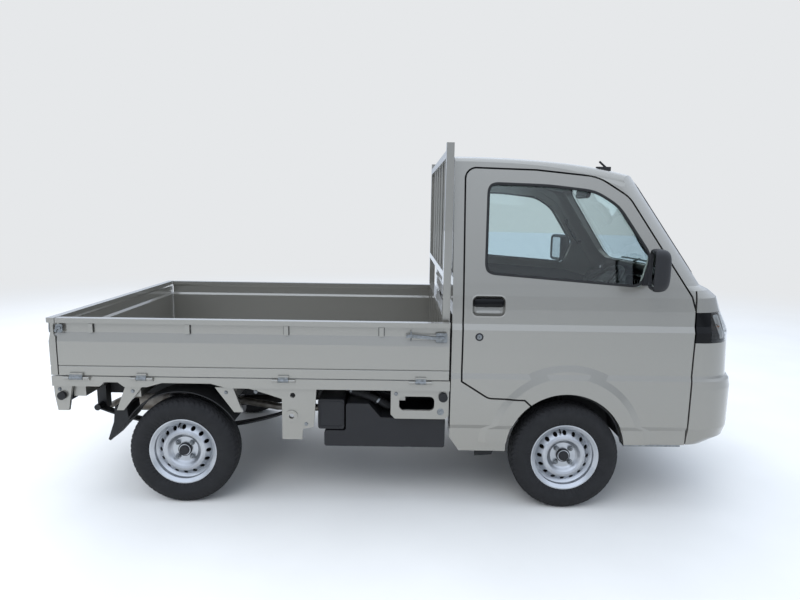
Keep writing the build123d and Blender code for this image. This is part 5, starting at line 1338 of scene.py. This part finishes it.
class TRUCK_OT_gates(bpy.types.Operator):
    """Hinge sleeves and straps, latches, black plates as painted shade in the slots, stay bolts, rope hooks
    and tailgate catches
    """

    bl_idname = "truck.gates"
    bl_label = "Gates"

    def execute(self, context):
        """Plates, rods and turned profiles at places given along the truck, outwards and up."""
        gate_face = 0.735
        for name, side in SIDES:
            out, rise = (0, side, 0), (0, 0, -side)
            bright, slot_shades = [], []

            def on_gate(outline, x, z, stand, thickness, edge=0.0):
                """A plate about a place on the gate's face, standing off by a distance."""
                placed = outline * (1, -side) + (x, -side * z)
                return plate(placed, (0, side * (gate_face + stand), 0), AHEAD, rise, thickness, edge)

            for start, end in ((-1621, -1496), (-1299, -1190), (-616, -505), (47, 158)):
                middle = np.array([MM * (start + end) / 2, side * 0.744, 0.654])
                half = MM * (end - start) / 2 - 0.0305
                sleeve = np.array([(0.0072, -half), (0.0086, -half), (0.0086, half), (0.0072, half)])
                strap = rectangle(2 * half, 0.012, 0.003, 4)
                bright.append(turned(sleeve, middle, AHEAD, 20))
                bright.append(plate(strap, middle + (0, side * 0.0045, 0.0115), AHEAD, rise, 0.004, 0.0008))
            lever = smooth([(0.205, side * 0.7505, 0.874), (0.150, side * 0.7515, 0.8765),
                            (0.085, side * 0.7515, 0.882), (0.048, side * 0.7505, 0.884),
                            (0.030, side * 0.7485, 0.880)], 6)
            pivot = mm((0, 9.5), (5, 9), (8, 7), (8.5, 3), (8.5, -6))
            staple = [(0.052, side * y, z)
                      for y, z in ((0.7435, 0.862), (0.7475, 0.872), (0.7475, 0.898), (0.7435, 0.905))]
            corner_lever = smooth([(-1.616, side * 0.7445, 0.898), (-1.634, side * 0.7455, 0.897),
                                   (-1.6425, side * 0.745, 0.880)], 5)
            bright += [
                swept(lever, out, rectangle(0.0155, 0.005, 0.0022, 4)),
                on_gate(rectangle(0.055, 0.046, 0.008, 5), 0.198, 0.876, 0.0095, 0.003, 0.0008),
                turned(pivot, (0.205, side * 0.7475, 0.874), out, 20),
                swept(staple, AHEAD, circle(0.0028, 12)),
                on_gate(rectangle(0.034, 0.040, 0.006, 4), -1.626, 0.896, 0.0065, 0.003, 0.0008),
                swept(corner_lever, out, rectangle(0.011, 0.004, 0.0018, 4))]
            # black plates on the recess floor stand for the shade inside the gate's slots: painted shade
            slot = rectangle(0.0030, 0.042, 0.001, 3)
            for x in (-1480, -1017, -545, -89):
                for k in (-13.0, 13.0):
                    slot_shades.append(on_gate(slot, MM * (x + k), 0.898, -0.0104, 0.0012))
            piece(f"gate_bright_{name}", bright, "zinc", f"side_gate_{name}")
            piece(f"gate_slot_shades_{name}", slot_shades, "seal", f"side_gate_{name}")

        bolts = []
        washer = mm((0, 1.6), (9, 1.6), (9.6, 0.6), (9.6, -0.5))
        wide_washer = mm((0, 1.4), (16, 1.4), (17, 0.6), (17, -0.5))
        for side in (-1, 1):
            for x, z in ((-0.700, 0.590), (-0.455, 0.430), (0.203, 0.501), (-0.015, 0.590), (-1.300, 0.585),
                         (-0.845, 0.585), (-1.655, 0.590)):
                spot = np.array([x, side * 0.722, z])
                head = spot + (0, side * 0.0055, 0)
                bolts.append(plate(hexagon(0.0075), head, AHEAD, (0, 0, -side), 0.006, 0.0008))
                bolts.append(turned(washer, spot, (0, side, 0), 18))
            bolts.append(turned(wide_washer, (0.203, side * 0.722, 0.501), (0, side, 0), 28))
        piece("stay_bolts", bolts, "zinc")

        hooks = []
        for y in (-0.66, 0.66):
            line = smooth([(-1.6835, y - 0.02, 0.642), (-1.689, y - 0.02, 0.628), (-1.690, y, 0.619),
                           (-1.689, y + 0.02, 0.628), (-1.6835, y + 0.02, 0.642)], 6)
            hooks.append(swept(line, AHEAD, circle(0.0038, 12)))
        piece("rope_hooks", hooks, "zinc")
        catches = []
        for side in (-1, 1):
            y = side * 0.700
            body = rectangle(0.034, 0.05, 0.005, 4)
            catches.append(plate(body, (-1.6885, y, 0.895), RIGHT, UP, 0.004, 0.0008))
            tongue = [(-1.6895, y, 0.918), (-1.6935, y, 0.900), (-1.6935, y, 0.870)]
            catches.append(swept(tongue, LEFT, rectangle(0.012, 0.004, 0.0015, 3)))
        piece("tailgate_catches", catches, "zinc", "tailgate")
        return {"FINISHED"}


class TRUCK_OT_underside(bpy.types.Operator):
    """Filler hoses, spring clips, dampers, tail pipe, brakes, rail shields, splash aprons that also stand for
    ground shadow, and box bead
    """

    bl_idname = "truck.underside"
    bl_label = "Underside"

    def execute(self, context):
        """The underside's groups, from the filler hoses to the flat sheets."""
        self.hoses()
        self.springs()
        self.brakes()
        self.sheets()
        return {"FINISHED"}

    def hoses(self):
        """Rings of points along a curve; the larger hose's radius gains a cosine of the distance."""
        filler = [(-0.262, -0.60, 0.600), (-0.235, -0.625, 0.572), (-0.170, -0.650, 0.560),
                  (-0.105, -0.655, 0.535), (-0.055, -0.640, 0.505), (-0.02, -0.60, 0.497)]
        breather = [(-0.30, -0.55, 0.605), (-0.25, -0.575, 0.585), (-0.16, -0.60, 0.592),
                    (-0.08, -0.60, 0.560), (0.0, -0.56, 0.512)]
        ring = circle(1.0, 18)
        hose = []
        for radius, ripple, way in ((0.019, 0.0012, filler), (0.009, 0.0, breather)):
            line = spaced(smooth(way, 12), 0.0016)
            tangent = unit(np.gradient(line, axis=0))
            side = unit(np.cross(tangent, (0, 1.0, 0.2)))
            other = np.cross(side, tangent)
            girth = radius + ripple * np.cos(np.arange(len(line)) * 2 * math.pi / 5)
            around = ring[None, :, :1] * side[:, None] + ring[None, :, 1:] * other[:, None]
            hose.append(ring_sheet(line[:, None] + girth[:, None, None] * around, True))
        piece("filler_hoses", hose, "seal")
        band = mm((20.6, -5), (21.8, -5), (21.8, 5), (20.6, 5))
        clamps = [turned(band, at, way, 32) for at, way in (
            ((-0.105, -0.655, 0.535), (0.6, -0.05, -0.45)), ((-0.235, -0.625, 0.572), (0.7, -0.35, -0.35)))]
        piece("hose_clamps", clamps, "zinc")

    def springs(self):
        """U-shaped clips round the rear axle: half circles with straight legs; dampers: profiles turned about
        a leaning line."""
        axle, reach, leg_top = -1.076, 0.043, 0.352
        clips, dampers = [], []
        for side in (-1, 1):
            for y in (side * 0.452, side * 0.508):
                a = np.radians(np.linspace(180, 360, 17))
                bend = np.stack([axle + reach * np.cos(a), np.full(17, y), AXLE_Z + reach * np.sin(a)], 1)
                line = np.concatenate([[(axle - reach, y, leg_top)], bend, [(axle + reach, y, leg_top)]])
                clips.append(swept(line, LEFT, circle(0.005, 12)))
                for x in (axle - reach, axle + reach):
                    clips.append(plate(hexagon(0.0095), (x, y, 0.350), AHEAD, LEFT, 0.009, 0.001))
            foot, head = np.array([-1.150, side * 0.405, 0.225]), np.array([-1.255, side * 0.350, 0.475])
            rise = head - foot
            body = mm((0, -8), (16, -8), (21, 0), (22.5, 6), (22.5, 140), (20, 146), (9, 148))
            cover = mm((28, 120), (28, 250), (25, 258), (8, 262))
            dampers += [turned(body, foot, rise, 28), turned(cover, foot, rise, 28)]
            clips.append(turned(mm((8, 140), (8, 262)), foot, rise, 16))
            clips.append(swept([foot + (0, y, 0) for y in (-0.03, 0, 0.03)], UP, circle(0.011, 14)))
        piece("spring_clips", clips, "zinc")
        piece("dampers", dampers, "chassis")
        tail = smooth([(-1.505, -0.23, 0.395), (-1.55, -0.235, 0.393), (-1.60, -0.26, 0.375),
                       (-1.645, -0.285, 0.352)], 6)
        piece("tail_pipe", [swept(tail, UP, circle(0.017, 20))], "galvanised")

    def brakes(self):
        """Discs, drums and dust shields turned about the axles, and a calliper on each front disc."""
        disc = mm((36, -14), (36, 4), (52, 4), (52, -8), (108, -8), (109, -9), (109, -17), (108, -18),
                  (44, -18))
        shield = mm((48, -28), (112, -28), (126, -22), (133, -12), (134, -12), (127.5, -24), (113, -30),
                    (48, -30))
        block = rounded(circle(0.07, 12) * (1.0, 0.62), 0.01, 3)
        for name, x, y, outward in WHEELS:
            end, which = name.split("_")
            front = end == "front"
            holder = f"knuckle_{which}" if front else "chassis"
            centre, out = (x, y, AXLE_Z), (0, outward, 0)
            spun = turned(disc if front else disc * (0.88, 1), centre, out, 64)
            piece(f"brake_{name}", [spun], "iron", f"wheel_{name}")
            piece(f"dust_shield_{name}", [turned(shield, centre, out, 64)], "chassis", holder)
            if front:
                spot = (x - 0.085, y + outward * 0.002, AXLE_Z + 0.02)
                calliper = plate(block, spot, (0, 0, outward), AHEAD, 0.04, 0.006)
                piece(f"calliper_{name}", [calliper], "iron", holder)

    def sheets(self):
        """Shields along the rails, aprons at the front of the arches drawn low so their black also covers the
        ground's shadow, and a bead round the fuel flap.
        """
        shield = mm((-420, 425), (235, 425), (235, 600), (-420, 600))
        # real splash aprons, drawn lower than usual to cover dark ground shadow: partly painted shade
        apron = mm((1012, 178), (1112, 170), (1138, 190), (1138, 320), (1012, 320))
        shields, aprons = [], []
        for side in (-1, 1):
            rise = (0, 0, side)
            outline = rounded(shield * (1, side), 0.01, 4)
            shields.append(plate(outline, (0, side * 0.412, 0), AHEAD, rise, 0.002, 0.0004))
            outline = rounded(apron * (1, side), 0.012, 4)
            aprons.append(plate(outline, (0, side * 0.4285, 0), AHEAD, rise, 0.003, 0.0006))
        piece("rail_shields", shields, "chassis")
        piece("splash_aprons_and_shadow", aprons, "seal")
        flap = mm((-392, 410), (-279, 410), (-279, 538), (-392, 538))
        flap = spaced(rounded(flap, 0.012, 6), 0.01, True)
        line = np.stack([flap[:, 0], np.full(len(flap), -0.7002), flap[:, 1]], 1)
        piece("box_beads", [swept(line, RIGHT, rectangle(0.006, 0.005, 0.0015, 3), True)], "plastic")


class TRUCK_OT_rear(bpy.types.Operator):
    """Tail lamps in three colours, number lamp, blank plate, beads behind the cab and sill strips"""

    bl_idname = "truck.rear"
    bl_label = "Rear"

    def execute(self, context):
        """Lamp housings: an outline set in ring after ring towards the rear; the rest are flat plates."""
        lamp_z = 0.5649
        # Place along the truck and inset of each ring of a lamp's housing
        rings = ((-1.626, 0.004), (-1.628, 0), (-1.655, 0), (-1.657, 0.0015), (-1.657, 0.006),
                 (-1.650, 0.008))
        # Kind, inner and outer edge from the lamp's middle, and finish
        lenses = (("stop", 0.030, 0.087, "red"), ("turn", -0.027, 0.028, "amber"),
                  ("reverse", -0.087, -0.029, "lens"))
        for name, side in SIDES:
            centre = side * 0.595
            outline = rectangle(0.190, 0.0895, 0.014, 6)
            rows = []
            for x, back in rings:
                q = inset(outline, back) if back else outline
                rows.append(np.stack([np.full(len(q), x), centre + q[:, 0], lamp_z + q[:, 1]], 1))
            made = piece(f"tail_housing_{name}", [ring_sheet(rows, True)], "plastic")
            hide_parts("tail_lamps")
            mirror = plate(rectangle(0.170, 0.070, 0.010, 5), (-1.6525, centre, lamp_z), RIGHT, UP, 0.001)
            piece(f"tail_reflector_{name}", [mirror], "bright")
            for kind, start, end, finish in lenses:
                spot = (-1.668, centre + side * (start + end) / 2, lamp_z)
                lens = plate(rectangle(end - start, 0.073, 0.006, 5), spot, RIGHT, UP, 0.012, 0.0025)
                made = piece(f"tail_{kind}_{name}", [lens], finish)
                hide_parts("tail_lamps")
        number = plate(rectangle(0.33, 0.165, 0.012, 6), (-1.6855, 0, 0.490), RIGHT, UP, 0.0012, 0.0004)
        holder = plate(rectangle(0.30, 0.180, 0.02, 6), (-1.6842, 0, 0.498), RIGHT, UP, 0.003, 0.0006)
        lamp = plate(rectangle(0.10, 0.022, 0.006, 5), (-1.6895, 0, 0.588), RIGHT, UP, 0.007, 0.0015)
        piece("rear_plate", [number], "blank")
        piece("rear_plate_holder", [holder, lamp], "plastic")
        wall, half_bead = 0.2495, 0.56
        beads = []
        for z in (1.045, 1.105):
            line = np.stack([np.full(40, wall), np.linspace(-half_bead, half_bead, 40), np.full(40, z)], 1)
            beads.append(swept(line, BACK, circle(0.006, 12) * (1.6, 0.6)))
        piece("rear_wall_beads", beads, "enamel")
        strips = [swept([(x, side * 0.6995, 0.3395) for x in (1.115, 1.25, 1.395)], (0, side, 0),
                        rectangle(0.010, 0.03, 0.001, 3)) for side in (-1, 1)]
        piece("sill_strips", strips, "zinc")
        return {"FINISHED"}


OPERATORS = (
    TRUCK_OT_stage, TRUCK_OT_finishes, TRUCK_OT_tyres, TRUCK_OT_wheels, TRUCK_OT_seals,
    TRUCK_OT_door_fittings, TRUCK_OT_headlamps, TRUCK_OT_front, TRUCK_OT_steering_wheel, TRUCK_OT_cabin,
    TRUCK_OT_seats, TRUCK_OT_gates, TRUCK_OT_underside, TRUCK_OT_rear,
)


class TRUCK_PT_looks(bpy.types.Panel):
    """Lists the truck's colours, sizes and pieces"""

    bl_idname = "TRUCK_PT_looks"
    bl_label = "Truck"
    bl_space_type = "VIEW_3D"
    bl_region_type = "UI"
    bl_category = "Truck"

    def draw(self, context):
        """Every property of both groups, and a button for each operator."""
        for group in (context.scene.truck_colours, context.scene.truck_sizes):
            for name in type(group).__annotations__:
                self.layout.prop(group, name)
        for made in OPERATORS:
            self.layout.operator(made.bl_idname)


CLASSES = (TruckColours, TruckSizes, *OPERATORS, TRUCK_PT_looks)


def register():
    """Registers the classes and hangs both property groups on the scene."""
    for made in CLASSES:
        bpy.utils.register_class(made)
    bpy.types.Scene.truck_colours = bpy.props.PointerProperty(type=TruckColours)
    bpy.types.Scene.truck_sizes = bpy.props.PointerProperty(type=TruckSizes)


def unregister():
    """Takes away in reverse what register added."""
    del bpy.types.Scene.truck_sizes
    del bpy.types.Scene.truck_colours
    for made in reversed(CLASSES):
        bpy.utils.unregister_class(made)


def main():
    """Builds every piece in order."""
    register()
    for made in OPERATORS:
        group, name = made.bl_idname.split(".")
        getattr(getattr(bpy.ops, group), name)()
    bpy.context.view_layer.update()


if __name__ == "__main__":
    main()
